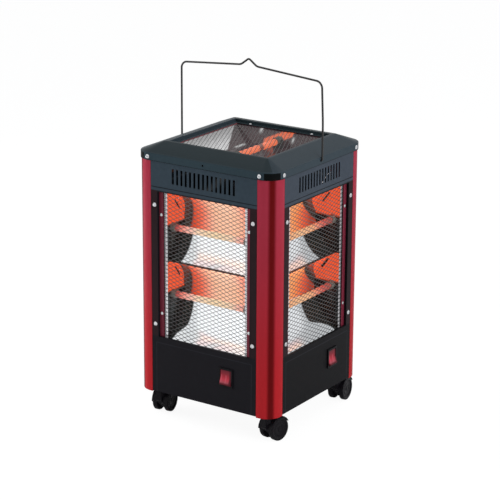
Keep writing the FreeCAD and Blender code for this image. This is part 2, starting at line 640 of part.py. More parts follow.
def top_reflector():
    """The shallow pan under the top mesh, with the clips that hold its tube."""
    mouth = TOP_MESH_HALF - PAN_RIM
    rim_low = PAN_TOP_Z - PAN_SHEET
    rim = block(-TOP_MESH_HALF, TOP_MESH_HALF, -TOP_MESH_HALF, TOP_MESH_HALF, rim_low, PAN_TOP_Z)
    outer_floor = corners(PAN_FLOOR_HALF_X + PAN_SHEET, PAN_FLOOR_HALF_Y + PAN_SHEET, PAN_FLOOR_Z)
    outer_mouth = corners(mouth + PAN_SHEET, mouth + PAN_SHEET, PAN_TOP_Z)
    inner_floor = corners(PAN_FLOOR_HALF_X, PAN_FLOOR_HALF_Y, PAN_FLOOR_Z + PAN_SHEET)
    inner_mouth = corners(mouth, mouth, PAN_TOP_Z + PAN_SHEET)
    pan = tapered(outer_floor, outer_mouth).fuse(rim)
    pan = pan.cut(tapered(inner_floor, inner_mouth))
    for end in (-1, 1):
        outer = end * (TOP_TUBE_HALF + CAP_INSIDE + END_SHEET)
        y = min(outer, outer - end * END_SHEET)
        clip = block(TOP_TUBE_X - TOP_CLIP_WIDTH / 2.0, TOP_TUBE_X + TOP_CLIP_WIDTH / 2.0,
                     y, y + END_SHEET, PAN_FLOOR_Z + PAN_SHEET / 2.0, TOP_TUBE_Z + CAP_RADIUS / 2.0)
        seat = bar(CAP_SIDES, CAP_RADIUS + CAP_FIT, V(TOP_TUBE_X, y - END_SHEET, TOP_TUBE_Z), V(0, 1, 0),
                   3.0 * END_SHEET)
        pan = pan.fuse(clip.cut(seat))
    return pan.removeSplitter()


# Switch, drawn round its own pivot: x along the face, y inward, z up

def rocker():
    """The rocker with its top pressed in: two flats that meet in a valley, and round ends."""
    half = ROCKER_WIDTH / 2.0
    rise = ROCKER_RADIUS * math.tan(math.radians(ROCKER_TIP))
    wide = ROCKER_RADIUS + CUT_PAST
    profile = [V(-half, ROCKER_UNDER, -wide), V(-half, -ROCKER_VALLEY - rise, -wide),
               V(-half, -ROCKER_VALLEY, 0), V(-half, -ROCKER_VALLEY - rise, wide),
               V(-half, ROCKER_UNDER, wide)]
    key = Part.Face(outline(profile)).extrude(V(ROCKER_WIDTH, 0, 0))
    key = key.common(rod(ROCKER_RADIUS, V(-half, 0, 0), V(1, 0, 0), ROCKER_WIDTH))
    reach = half + TRUNNION_REACH
    key = key.fuse(bar(TRUNNION_SIDES, TRUNNION_RADIUS, V(-reach, 0, 0), V(1, 0, 0), 2.0 * reach))
    key.rotate(V(0, 0, 0), V(1, 0, 0), -ROCKER_TIP)
    return place_switch(key)


def switch_body():
    """Bezel and housing of a switch, with the well that the rocker tips in."""
    front = ROCKER_PIVOT_OUT - BEZEL_PROUD
    face = ROCKER_PIVOT_OUT
    body = block(-BEZEL_WIDTH / 2.0, BEZEL_WIDTH / 2.0, front, face, -BEZEL_HEIGHT / 2.0, BEZEL_HEIGHT / 2.0)
    half_width = SWITCH_BODY_WIDTH / 2.0
    half_height = SWITCH_BODY_HEIGHT / 2.0
    body = body.fuse(block(-half_width, half_width, face, face + SWITCH_BODY_DEPTH, -half_height, half_height))
    well_width = ROCKER_WIDTH / 2.0 + ROCKER_GAP
    well_height = ROCKER_RADIUS + ROCKER_GAP
    tip = ROCKER_RADIUS * math.sin(math.radians(ROCKER_TIP))
    floor = ROCKER_UNDER + tip + ROCKER_GAP
    body = body.cut(block(-well_width, well_width, front - CUT_PAST, floor, -well_height, well_height))
    ear = half_width - SWITCH_CUTOUT_GAP / 2.0
    body = body.cut(bar_hole(TRUNNION_SIDES, TRUNNION_RADIUS + TRUNNION_FIT, V(-ear, 0, 0), V(1, 0, 0), 2.0 * ear))
    for z in (-half_height / 2.0, 0.0, half_height / 2.0):
        body = body.fuse(block(-SWITCH_BLADE / 2.0, SWITCH_BLADE / 2.0, face + SWITCH_BODY_DEPTH,
                               face + SWITCH_BODY_DEPTH + SWITCH_BLADE, z, z + PANEL_SHEET))
    return place_switch(body.removeSplitter())


def place_switch(shape):
    """From the pivot's own frame to the front panel."""
    shape.translate(V(SWITCH_U, -BODY_HALF - ROCKER_PIVOT_OUT, SWITCH_Z))
    return shape


# Bail handle

def bend_points(before, corner, after, radius):
    """Start, middle and end of the round that replaces a corner."""
    a = (before - corner).normalize()
    b = (after - corner).normalize()
    half = a.getAngle(b) / 2.0
    reach = radius / math.tan(half)
    middle = (a + b).normalize()
    centre = corner + middle * (radius / math.sin(half))
    return corner + a * reach, centre - middle * radius, corner + b * reach


def wire_path(points, radii):
    """Straight runs joined by arcs that touch them."""
    edges = []
    last = points[0]
    for i in range(1, len(points) - 1):
        start, middle, end = bend_points(points[i - 1], points[i], points[i + 1], radii[i - 1])
        edges.append(Part.LineSegment(last, start).toShape())
        edges.append(Part.Arc(start, middle, end).toShape())
        last = end
    edges.append(Part.LineSegment(last, points[-1]).toShape())
    return Part.Wire(edges)


def bail_handle():
    """Bent wire with hooks through the skirt, a bowed bar and a grip hump."""
    hump_low = BAIL_HUMP_X - BAIL_HUMP_HALF
    hump_high = BAIL_HUMP_X + BAIL_HUMP_HALF
    points = [V(-BAIL_HOOK_END_X, 0, BAIL_PIVOT_Z), V(-BAIL_LEG_X, 0, BAIL_PIVOT_Z),
              V(-BAIL_LEG_X, 0, BAIL_SHOULDER_Z), V(hump_low, 0, BAIL_CROWN_Z),
              V(BAIL_HUMP_X, 0, BAIL_HUMP_Z), V(hump_high, 0, BAIL_CROWN_Z),
              V(BAIL_LEG_X, 0, BAIL_SHOULDER_Z), V(BAIL_LEG_X, 0, BAIL_PIVOT_Z),
              V(BAIL_HOOK_END_X, 0, BAIL_PIVOT_Z)]
    radii = [BAIL_HOOK_BEND, BAIL_CORNER_BEND, BAIL_FOOT_BEND, BAIL_HUMP_BEND, BAIL_FOOT_BEND,
             BAIL_CORNER_BEND, BAIL_HOOK_BEND]
    path = wire_path(points, radii)
    section = bar(BAIL_SIDES, BAIL_WIRE / 2.0, points[0], V(1, 0, 0), BAIL_WIRE)
    end_face = min(section.Faces, key=lambda face: face.CenterOfMass.x)
    wire = path.makePipeShell([end_face.OuterWire], True, True)
    print("bail length", round(path.Length, 1), "volume check",
          round(wire.Volume / (path.Length * end_face.Area), 4))
    return wire


# Castors, drawn at the swivel axis: x along the axle, y to the trailing side

def castor_profile(x):
    """The side view of the housing's web: round the axle below, up to the hood above."""
    low = WHEEL_RADIUS - WEB_RADIUS
    high = 2.0 * WHEEL_RADIUS + HOOD_GAP + HOOD_SHEET / 2.0
    back = CASTOR_TRAIL + WEB_RADIUS
    points = [V(x, CASTOR_TRAIL - WEB_FLAT, low), V(x, CASTOR_TRAIL + WEB_FLAT, low),
              V(x, back, WHEEL_RADIUS - WEB_FLAT), V(x, back, WHEEL_RADIUS + WEB_FLAT),
              V(x, CASTOR_TRAIL, high), V(x, -BOSS_RADIUS, high), V(x, -BOSS_RADIUS, WHEEL_RADIUS + WEB_FLAT),
              V(x, CASTOR_TRAIL - WEB_RADIUS, WHEEL_RADIUS - WEB_FLAT)]
    return outline(points)


def hood_sector(half_width):
    """The wedge round the axle that the hood fills."""
    far = 2.0 * (WHEEL_RADIUS + HOOD_GAP + HOOD_SHEET)
    points = [V(-half_width, CASTOR_TRAIL, WHEEL_RADIUS)]
    for step in range(4):
        t = math.radians(HOOD_REAR + (HOOD_FRONT - HOOD_REAR) * step / 3.0)
        points.append(V(-half_width, CASTOR_TRAIL + far * math.cos(t), WHEEL_RADIUS + far * math.sin(t)))
    return Part.Face(outline(points)).extrude(V(2.0 * half_width, 0, 0))


def castor_housing():
    """Web between the wheels, hood over them and the boss that turns on the stem."""
    half_width = (WHEEL_SPACING + WHEEL_WIDTH) / 2.0
    along = V(1, 0, 0)
    left = V(-half_width, CASTOR_TRAIL, WHEEL_RADIUS)
    hood_inner = WHEEL_RADIUS + HOOD_GAP
    wheel_room = bar_hole(HOOD_SIDES, hood_inner, left, along, 2.0 * half_width)
    hood = bar(HOOD_SIDES, hood_inner + HOOD_SHEET, left, along, 2.0 * half_width)
    hood = hood.cut(wheel_room).common(hood_sector(half_width))
    web = Part.Face(castor_profile(-WEB_HALF)).extrude(V(2.0 * WEB_HALF, 0, 0))
    boss = bar(AXLE_SIDES, BOSS_RADIUS, V(0, 0, CASTOR_TOP_Z - BOSS_LENGTH), V(0, 0, 1), BOSS_LENGTH)
    housing = hood.fuse(boss.cut(wheel_room)).fuse(web)
    socket = bar_hole(STEM_SIDES, STEM_RADIUS + STEM_FIT, V(0, 0, STEM_TIP_Z - SEAM), V(0, 0, 1), CASTOR_TOP_Z)
    bore = bar_hole(AXLE_SIDES, AXLE_RADIUS + AXLE_FIT, left, along, 2.0 * half_width)
    return housing.cut(socket).cut(bore).removeSplitter()


def castor_wheel(side):
    """One wheel with a dished outer face inside its tread ring."""
    across = V(side, 0, 0)
    axis = V(0, CASTOR_TRAIL, WHEEL_RADIUS)
    inner = (WHEEL_SPACING - WHEEL_WIDTH) / 2.0
    outer = inner + WHEEL_WIDTH
    stand = WHEEL_RADIUS / math.cos(math.pi / WHEEL_SIDES)
    wheel = bar(WHEEL_SIDES, stand, axis + across * inner, across, WHEEL_WIDTH)
    wheel.rotate(axis, V(1, 0, 0), 180.0 / WHEEL_SIDES)
    dish = bar(WHEEL_SIDES, WHEEL_RADIUS - WHEEL_RIM, axis + across * (outer - WHEEL_DISH), across, WHEEL_WIDTH)
    bore = bar(AXLE_SIDES, AXLE_RADIUS, axis, across, outer)
    return wheel.cut(dish).cut(bore)


def castor_axle():
    """The pin that carries both wheels."""
    half = (WHEEL_SPACING + WHEEL_WIDTH) / 2.0 - WHEEL_DISH
    return bar(AXLE_SIDES, AXLE_RADIUS, V(-half, CASTOR_TRAIL, WHEEL_RADIUS), V(1, 0, 0), 2.0 * half)


def castor_stem():
    """The fixed pin that a castor turns on, with its collar under the tray and its thread above."""
    up = V(0, 0, 1)
    collar_low = CASTOR_TOP_Z + SEAM
    stem = bar(STEM_SIDES, STEM_RADIUS, V(0, 0, STEM_TIP_Z), up, collar_low - STEM_TIP_Z)
    stem = stem.fuse(bar(STEM_SIDES, STEM_COLLAR_RADIUS, V(0, 0, collar_low), up, TRAY_BOTTOM_Z - collar_low))
    return stem.fuse(bar(STEM_SIDES, STEM_THREAD_RADIUS, V(0, 0, TRAY_BOTTOM_Z), up, STEM_TOP_Z - TRAY_BOTTOM_Z))


def castor_nut():
    """The hexagon nut on a stem, down on the tray."""
    up = V(0, 0, 1)
    nut = bar(6, NUT_RADIUS, V(0, 0, TRAY_TOP_Z), up, NUT_HEIGHT)
    return nut.cut(bar(STEM_SIDES, STEM_THREAD_RADIUS, V(0, 0, TRAY_BOTTOM_Z), up, STEM_TOP_Z))


def at_corner(shape, sx, sy, yaw=0.0):
    """A castor piece turned about the swivel axis and moved to its corner."""
    copy = shape.copy()
    copy.rotate(V(0, 0, 0), V(0, 0, 1), yaw)
    copy.translate(V(sx * CASTOR_AT, sy * CASTOR_AT, 0))
    return copy


# Cord entry

def cord_gland():
    """The bush in the back panel that the supply cord passes through."""
    outer = V(GLAND_U, -GLAND_HEAD - BODY_HALF, GLAND_Z)
    inward = V(0, 1, 0)
    gland = bar(GLAND_SIDES, GLAND_HEAD_RADIUS, outer, inward, GLAND_HEAD)
    gland = gland.fuse(bar(GLAND_SIDES, GLAND_NECK_RADIUS, outer, inward, GLAND_LENGTH))
    nut = V(GLAND_U, PANEL_SHEET - BODY_HALF, GLAND_Z)
    gland = gland.fuse(bar(GLAND_SIDES, GLAND_HEAD_RADIUS, nut, inward, GLAND_NUT))
    bore = rod(GLAND_BORE_RADIUS, outer - inward * CUT_PAST, inward, GLAND_LENGTH + 2.0 * CUT_PAST)
    return to_side(gland.cut(bore), 2)


def terminal_block():
    """The block on the tray where the cord meets the heater's wires."""
    pitch = TERMINAL_LENGTH / TERMINAL_WAYS
    low = TERMINAL_X - TERMINAL_LENGTH / 2.0
    block_end = TERMINAL_X + TERMINAL_LENGTH / 2.0
    body = block(low, block_end, TERMINAL_Y, TERMINAL_Y + TERMINAL_WIDTH, TRAY_TOP_Z, TRAY_TOP_Z + TERMINAL_HEIGHT)
    for i in range(TERMINAL_WAYS):
        x = low + (i + 0.5) * pitch
        body = body.cut(block(x - pitch / 4.0, x + pitch / 4.0, TERMINAL_Y - CUT_PAST,
                              TERMINAL_Y + TERMINAL_WIDTH + CUT_PAST, TRAY_TOP_Z + TERMINAL_HEIGHT / 3.0,
                              TRAY_TOP_Z + TERMINAL_HEIGHT * 2.0 / 3.0))
    return body


# Assembly

SIDES = ("front", "right", "back", "left")
CORNERS = (("front_right", 1, -1), ("back_right", 1, 1), ("back_left", -1, 1), ("front_left", -1, -1))


def main():
    os.makedirs("parts", exist_ok=True)
    save("base_tray", [base_tray()])
    save("top_cover", [top_cover()])
    save("top_grille", [top_grille()])
    save("top_reflector", [top_reflector()])
    build_sides()
    build_tubes()
    build_corners()
    save("bail_handle", [bail_handle()])
    save("cord_gland", [cord_gland()])
    save("terminal_block", [terminal_block()])


def build_sides():
    """The pieces that each of the four sides has."""
    plate = end_plate()
    other = plate.mirror(V(0, 0, 0), V(1, 0, 0))
    grille = side_grille()
    trough = reflector()
    body = switch_body()
    key = rocker()
    for side, name in enumerate(SIDES):
        save(name + "_panel", [to_side(side_panel(name == "back"), side)])
        save(name + "_grille", [to_side(grille, side)])
        save(name + "_reflector", [to_side(trough, side)])
        save(name + "_reflector_ends", [to_side(plate, side), to_side(other, side)])
        save(name + "_switch_body", [to_side(body, side)])
        save(name + "_rocker", [to_side(key, side)])


def build_tubes():
    """Quartz tubes, their coils and their caps, on the sides and under the top mesh."""
    along = V(1, 0, 0)
    half = TROUGH_HALF - END_SHEET - CAP_INSIDE
    caps = []
    coils = []
    for side, name in enumerate(SIDES):
        tubes = []
        for centre in side_tube_centres():
            tubes.append(to_side(quartz_tube(centre, along, half), side))
            coils.append(to_side(coil(centre, along, half), side))
            for end in (-1, 1):
                caps.append(to_side(tube_cap(centre, along * end, TROUGH_HALF), side))
        save(name + "_heating_tubes", tubes)
    middle = V(TOP_TUBE_X, 0, TOP_TUBE_Z)
    across = V(0, 1, 0)
    plate_at = TOP_TUBE_HALF + CAP_INSIDE + END_SHEET
    save("top_heating_tube", [quartz_tube(middle, across, TOP_TUBE_HALF)])
    coils.append(coil(middle, across, TOP_TUBE_HALF))
    for end in (-1, 1):
        caps.append(tube_cap(middle, across * end, plate_at))
    save("tube_caps", caps)
    save("heating_coils", coils)


def build_corners():
    """Posts, columns and castors at the four corners."""
    post = corner_post()
    column = corner_column()
    housing = castor_housing()
    wheels = [castor_wheel(-1), castor_wheel(1)]
    axle = castor_axle()
    stem = castor_stem()
    nut = castor_nut()
    for side, (name, sx, sy) in enumerate(CORNERS):
        save(name + "_post", [to_side(post, side)])
        save(name + "_column", [to_side(column, side)])
        yaw = CASTOR_YAWS[name]
        save(name + "_castor_housing", [at_corner(housing, sx, sy, yaw)])
        save(name + "_castor_wheels", [at_corner(wheel, sx, sy, yaw) for wheel in wheels])
        save(name + "_castor_axle", [at_corner(axle, sx, sy, yaw)])
    save("castor_stems", [at_corner(stem, sx, sy) for _, sx, sy in CORNERS])
    save("castor_nuts", [at_corner(nut, sx, sy) for _, sx, sy in CORNERS])


main()
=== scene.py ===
# %% [markdown]
# # A coil heater on castors
# This lesson dresses a finished heater model in Blender. The heater stands on the floor plane,
# the front looks to -Y and the right side to +X. Blender counts in metres, and sizes are written
# in millimetres times MM, because that is how sheet metal is drawn.
#
# The frame is the engineering model. It is loaded first and never changed: every new piece rides
# on one of its bodies, so that the handle, switches and castors still move.

# %% Load the frame
import bmesh
import bpy
import math
from mathutils import Matrix, Vector


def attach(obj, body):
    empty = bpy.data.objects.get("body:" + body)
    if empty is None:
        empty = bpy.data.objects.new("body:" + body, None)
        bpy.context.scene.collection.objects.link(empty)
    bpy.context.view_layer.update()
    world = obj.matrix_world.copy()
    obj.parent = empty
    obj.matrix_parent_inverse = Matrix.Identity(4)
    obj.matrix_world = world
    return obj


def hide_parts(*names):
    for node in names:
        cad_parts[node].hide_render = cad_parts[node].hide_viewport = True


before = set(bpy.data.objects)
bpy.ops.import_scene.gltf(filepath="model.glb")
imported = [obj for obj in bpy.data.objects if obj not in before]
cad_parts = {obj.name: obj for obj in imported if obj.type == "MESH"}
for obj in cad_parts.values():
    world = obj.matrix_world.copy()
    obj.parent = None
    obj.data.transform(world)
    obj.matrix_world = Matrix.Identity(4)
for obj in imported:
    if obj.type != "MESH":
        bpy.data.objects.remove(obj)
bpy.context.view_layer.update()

print("frame nodes", len(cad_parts))

# %% Names and shared sizes
MM = 0.001
SIDES = ("front", "right", "back", "left")
CORNERS = (("front_right", 1, -1), ("back_right", 1, 1), ("back_left", -1, 1), ("front_left", -1, -1))
# from the middle to the outside of a side panel, then two heights: the lobes' fold and the tubes
FACE = 130.0
TROUGH_CUSP = 267.5
TUBE_HEIGHTS = (323.0, 213.0)
print("sides", SIDES)

# %% [markdown]
# ## The camera
# A camera is matched to a photograph by its place, its turn and its lens. Here the three came
# from the straight edges of the body: the heater is seen from 34 degrees to the right of the
# front and 17 degrees above, through a long lens.

# %% Camera
def added(name, data):
    """A new object in the scene."""
    piece = bpy.data.objects.new(name, data)
    bpy.context.scene.collection.objects.link(piece)
    return piece


CAMERA_PLACE = (1.67947, -2.49487, 1.20667)
AZIMUTH = math.radians(33.9465)
ELEVATION = math.radians(17.2975)
ROLL = math.radians(0.318)
camera_data = bpy.data.cameras.new("camera")
camera_data.sensor_width = 36.0
camera_data.lens = 141.38
camera = added("camera", camera_data)
camera.matrix_world = (Matrix.Translation(CAMERA_PLACE) @ Matrix.Rotation(AZIMUTH, 4, "Z")
                       @ Matrix.Rotation(math.pi / 2.0 - ELEVATION, 4, "X") @ Matrix.Rotation(ROLL, 4, "Z"))
bpy.context.scene.camera = camera
print("camera at", [round(v, 3) for v in camera.location])

# %% [markdown]
# ## Small tools for working in edit mode
# An operator acts on all that is selected, so each piece starts from an empty selection. Parts of
# a mesh are picked by where they are: the helper gives the middle of each vertex, edge or face to
# a test, and selects what passes.

# %% Selection helpers
def begin():
    """Leaves edit mode and selects nothing."""
    if bpy.context.object and bpy.context.object.mode != "OBJECT":
        bpy.ops.object.mode_set(mode="OBJECT")
    bpy.ops.object.select_all(action="DESELECT")


def only(piece):
    """Makes one object the selected and active one."""
    begin()
    piece.select_set(True)
    bpy.context.view_layer.objects.active = piece
    return piece


def pick_all():
    """Selects every vertex in edit mode."""
    bpy.ops.mesh.select_mode(type="VERT")
    bpy.ops.mesh.select_all(action="SELECT")


def editing():
    """Enters edit mode with every vertex selected."""
    bpy.ops.object.mode_set(mode="EDIT")
    pick_all()


def leave():
    """Goes back to object mode."""
    bpy.ops.object.mode_set(mode="OBJECT")


def pick(kind, test):
    """Selects what passes a test of its middle and its normal, which for an edge is its direction."""
    bpy.ops.mesh.select_mode(type=kind)
    bpy.ops.mesh.select_all(action="DESELECT")
    mesh = bmesh.from_edit_mesh(bpy.context.object.data)
    things = {"VERT": mesh.verts, "EDGE": mesh.edges, "FACE": mesh.faces}[kind]
    for thing in things:
        corners = [thing] if kind == "VERT" else list(thing.verts)
        middle = sum((corner.co for corner in corners), Vector()) / len(corners)
        if kind == "EDGE":
            passed = test(middle, (corners[1].co - corners[0].co).normalized())
        else:
            passed = test(middle, thing.normal)
        thing.select_set(bool(passed))
    mesh.select_flush_mode()
    bmesh.update_edit_mesh(bpy.context.object.data)


def clean():
    """Closes seams and points all faces outwards, then leaves edit mode."""
    pick_all()
    bpy.ops.mesh.remove_doubles(threshold=0.002 * MM)
    bpy.ops.mesh.normals_make_consistent(inside=False)
    leave()


def modify(piece, kind, **settings):
    """Adds a modifier, sets it up and applies it."""
    only(piece)
    modifier = piece.modifiers.new(kind.lower(), kind)
    for key, value in settings.items():
        setattr(modifier, key, value)
    bpy.ops.object.modifier_apply(modifier=modifier.name)
    return piece


def soft_shade(piece, degrees):
    """Smooth shading that still breaks at edges sharper than the angle."""
    only(piece)
    bpy.ops.object.shade_smooth_by_angle(angle=math.radians(degrees))
    return piece


# %% Placing and naming helpers
def applied():
    """Puts the place, turn and scale of the new object into its mesh."""
    bpy.ops.object.transform_apply(location=True, rotation=True, scale=True)
    return bpy.context.object


def place(piece, matrix):
    """Moves a piece and puts the move into its mesh."""
    only(piece)
    piece.matrix_world = matrix @ piece.matrix_world
    return applied()


def copied(piece, matrix):
    """A moved copy with its own mesh."""
    return place(added(piece.name, piece.data.copy()), matrix)


def joined(pieces):
    """Several objects as one mesh."""
    begin()
    for piece in pieces:
        piece.select_set(True)
    bpy.context.view_layer.objects.active = pieces[0]
    bpy.ops.object.join()
    return bpy.context.object


def joined_clean(pieces, degrees):
    """Several objects as one mesh, with its faces turned outwards and shaded again."""
    whole = only(joined(pieces))
    editing()
    clean()
    return soft_shade(whole, degrees)


def discard(*pieces):
    """Takes away the models that copies were made from."""
    for piece in pieces:
        bpy.data.objects.remove(piece)


def moved(x, y, z):
    """The matrix of a move in millimetres."""
    return Matrix.Translation((x * MM, y * MM, z * MM))


def to_side(side):
    """The turn that carries a front piece to one of the four sides."""
    return Matrix.Rotation(math.radians(90.0 * side), 4, "Z")


def finished(piece, name, body, material, slot, *nodes):
    """Names a piece, gives it its finish and lets it ride on its body."""
    piece.name = name
    piece.data.name = name
    piece.data.materials.clear()
    piece.data.materials.append(material)
    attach(piece, body)
    if nodes:
        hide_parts(*nodes)
    return piece


def on_four_sides(model, ending, material, slot, node_ending):
    """Copies of a front piece on the four sides, each in place of its own node."""
    pieces = []
    for index, side in enumerate(SIDES):
        piece = copied(model, to_side(index))
        pieces.append(finished(piece, side + ending, "root", material, slot, side + node_ending))
    discard(model)
    return pieces


print("helpers ready")

# %% [markdown]
# ## Formulas for paint and light
# Colours on this heater change from place to place, and Blender works them out with math nodes.
# A small class lets the lesson write them as plain sums: adding or multiplying two values makes
# the node that does it. A mask is a value from 0 to 1 that chooses between two colours.

# %% Values on a surface
def plug(socket, value):
    """Gives a socket a number, a colour or a value that another node makes."""
    if isinstance(value, Value):
        value.tree.links.new(value.socket, socket)
    else:
        socket.default_value = (*value, 1.0) if isinstance(value, tuple) else value


def feed(node, **values):
    """Fills the sockets of a node by their names, with _ for a space."""
    for label, value in values.items():
        plug(node.inputs[label.replace("_", " ")], value)


def maths(operation, first, second=0.0):
    """One math node; each side is a number or a value, and at least one is a value."""
    tree = (first if isinstance(first, Value) else second).tree
    node = tree.nodes.new("ShaderNodeMath")
    node.operation = operation
    plug(node.inputs[0], first)
    plug(node.inputs[1], second)
    return Value(tree, node.outputs[0])


class Value:
    """What a node puts out: a number or a colour that changes over the surface."""

    def __init__(self, tree, socket):
        self.tree = tree
        self.socket = socket

    def __add__(self, other):
        return maths("ADD", self, other)

    def __sub__(self, other):
        return maths("SUBTRACT", self, other)

    def __rsub__(self, other):
        return maths("SUBTRACT", other, self)

    def __mul__(self, other):
        return maths("MULTIPLY", self, other)

    def __abs__(self):
        return maths("ABSOLUTE", self)

    def above(self, limit):
        """1 where the value is larger than the limit, and 0 elsewhere."""
        return maths("GREATER_THAN", self, limit)

    def either(self, other):
        """The larger of two values, so the union of two masks."""
        return maths("MAXIMUM", self, other)

    def rising(self, start, end):
        """A mask that goes from 0 to 1 while the value passes from start to end."""
        node = self.tree.nodes.new("ShaderNodeMapRange")
        node.interpolation_type = "SMOOTHSTEP"
        feed(node, Value=self, From_Min=start, From_Max=end)
        return Value(self.tree, node.outputs["Result"])

    def falling(self, start, end):
        """The opposite mask, from 1 to 0."""
        return 1.0 - self.rising(start, end)

    def within(self, start, end, soft=1.5):
        """A mask that is 1 between two values, with soft ends."""
        return self.rising(start - soft, start + soft) * self.falling(end - soft, end + soft)

    def choose(self, low, high):
        """As a mask, the first colour where it is 0 and the second where it is 1."""
        node = self.tree.nodes.new("ShaderNodeMix")
        node.data_type = "RGBA"
        feed(node, Factor=self, A=low, B=high)
        return Value(self.tree, node.outputs["Result"])

    def ramp(self, stops, reach=100.0):
        """A colour that follows the value through (value, red, green, blue) stops, all below the reach."""
        node = self.tree.nodes.new("ShaderNodeValToRGB")
        feed(node, Fac=maths("DIVIDE", self, reach))
        elements = node.color_ramp.elements
        for index, (at, *colour) in enumerate(stops):
            element = elements[index] if index < 2 else elements.new(at / reach)
            element.position = at / reach
            element.color = (*colour, 1.0)
        return Value(self.tree, node.outputs["Color"])


def axes(tree, kind, scale=1.0):
    """The X, Y and Z of the place (Object, in metres) or of the face's direction (Normal), times a scale."""
    source = tree.nodes.new("ShaderNodeTexCoord")
    parts = tree.nodes.new("ShaderNodeSeparateXYZ")
    tree.links.new(source.outputs[kind], parts.inputs[0])
    values = [Value(tree, parts.outputs[axis]) for axis in "XYZ"]
    return values if scale == 1.0 else [value * scale for value in values]


BLACK = (0.0, 0.0, 0.0)
WHITE = (1.0, 1.0, 1.0)
TO_MILLIMETRES = 1000.0
print("values ready")

# %% [markdown]
# ## The stage
# A product photograph has a white background and soft light from above. The floor is pale and
# keeps a faint shadow. The world looks white to the camera and in reflections, but lights the
# object at a gentler level, so that colours come out as they are mixed.

# %% Floor
def white_to(tree, output, plain, white, rays, share=1.0):
    """Shows a white shader to the kinds of ray named, by a share, and a plain one to the rest."""
    path = tree.nodes.new("ShaderNodeLightPath")
    seen = Value(tree, path.outputs[rays[0]])
    for ray in rays[1:]:
        seen = seen.either(Value(tree, path.outputs[ray]))
    mix = tree.nodes.new("ShaderNodeMixShader")
    for source, socket in zip(((seen * share).socket, plain.outputs[0], white.outputs[0]), mix.inputs):
        tree.links.new(source, socket)
    tree.links.new(mix.outputs[0], tree.nodes[output].inputs["Surface"])


begin()
bpy.ops.mesh.primitive_plane_add(size=12.0, location=(0.0, 0.0, 0.0))
floor = bpy.context.object
floor.name = "floor"
floor_material = bpy.data.materials.new("floor")
floor_material.use_nodes = True
tree = floor_material.node_tree
shader = tree.nodes["Principled BSDF"]
feed(shader, Base_Color=(0.92, 0.92, 0.92), Roughness=0.9, Specular_IOR_Level=0.1)
white = tree.nodes.new("ShaderNodeEmission")
feed(white, Color=WHITE, Strength=1.08)
white_to(tree, "Material Output", shader, white, ("Is Camera Ray", "Is Transmission Ray"), share=0.86)
floor.data.materials.append(floor_material)

# %% World
world = bpy.data.worlds.new("studio")
bpy.context.scene.world = world
world.use_nodes = True
tree = world.node_tree
sky = tree.nodes["Background"]
feed(sky, Color=(0.95, 0.97, 1.0), Strength=0.45)
backdrop = tree.nodes.new("ShaderNodeBackground")
feed(backdrop, Color=WHITE, Strength=1.0)
white_to(tree, "World Output", sky, backdrop, ("Is Camera Ray", "Is Glossy Ray", "Is Transmission Ray"))
bpy.context.scene.view_settings.view_transform = "Standard"


# %% Lamps
def soft_lamp(name, place_at, aim_height, size, power):
    """A large square lamp that looks at the heater's axis and doesn't show in mirrors."""
    lamp = bpy.data.lights.new(name, "AREA")
    lamp.shape = "SQUARE"
    lamp.size = size
    lamp.energy = power
    lamp_object = added(name, lamp)
    lamp_object.visible_glossy = False
    aim = Vector((0.0, 0.0, aim_height)) - Vector(place_at)
    turn = aim.to_track_quat("-Z", "Y").to_matrix().to_4x4()
    lamp_object.matrix_world = Matrix.Translation(place_at) @ turn


soft_lamp("key", place_at=(-1.3, -0.45, 0.45), aim_height=0.25, size=0.8, power=17.0)
soft_lamp("fill", place_at=(2.4, -0.5, 1.2), aim_height=0.25, size=1.2, power=28.0)
soft_lamp("top", place_at=(1.3, 0.9, 2.0), aim_height=0.3, size=1.4, power=10.0)
print("lamps", len(bpy.data.lights))

# %% [markdown]
# ## Finishes
# Painted steel is never quite even: the paint has a fine skin, a slow drift of shade and a little
# dust. Moulded plastic has a finer grain, and bare metal has scratches that run one way. Two node
# groups make these effects once, and each finish places one with its own numbers. A group gives
# only values and heights, while the shader stays in the material.

# %% Node group helpers
def new_group(name, inputs, outputs):
    """An empty shader group of numbers: its tree, its inputs as values and its output node."""
    group = bpy.data.node_groups.new(name, "ShaderNodeTree")
    for label, value in inputs.items():
        socket = group.interface.new_socket(label, in_out="INPUT", socket_type="NodeSocketFloat")
        socket.default_value = value
    for label in outputs:
        group.interface.new_socket(label, in_out="OUTPUT", socket_type="NodeSocketFloat")
    given = group.nodes.new("NodeGroupInput")
    result = group.nodes.new("NodeGroupOutput")
    return group, {label: Value(group, given.outputs[label]) for label in inputs}, result


def placed(group, material, **settings):
    """Places a group in a material and gives what it puts out."""
    node = material.node_tree.nodes.new("ShaderNodeGroup")
    node.node_tree = group
    feed(node, **settings)
    return {socket.name: Value(material.node_tree, socket) for socket in node.outputs}


def noise(tree, scale, detail, stretch=(1.0, 1.0, 1.0)):
    """Noise in object coordinates; the scale is a number or a value."""
    source = tree.nodes.new("ShaderNodeTexCoord")
    mapping = tree.nodes.new("ShaderNodeMapping")
    mapping.inputs["Scale"].default_value = stretch
    texture = tree.nodes.new("ShaderNodeTexNoise")
    tree.links.new(source.outputs["Object"], mapping.inputs["Vector"])
    tree.links.new(mapping.outputs[0], texture.inputs["Vector"])
    feed(texture, Scale=scale, Detail=detail)
    return Value(tree, texture.outputs["Fac"])


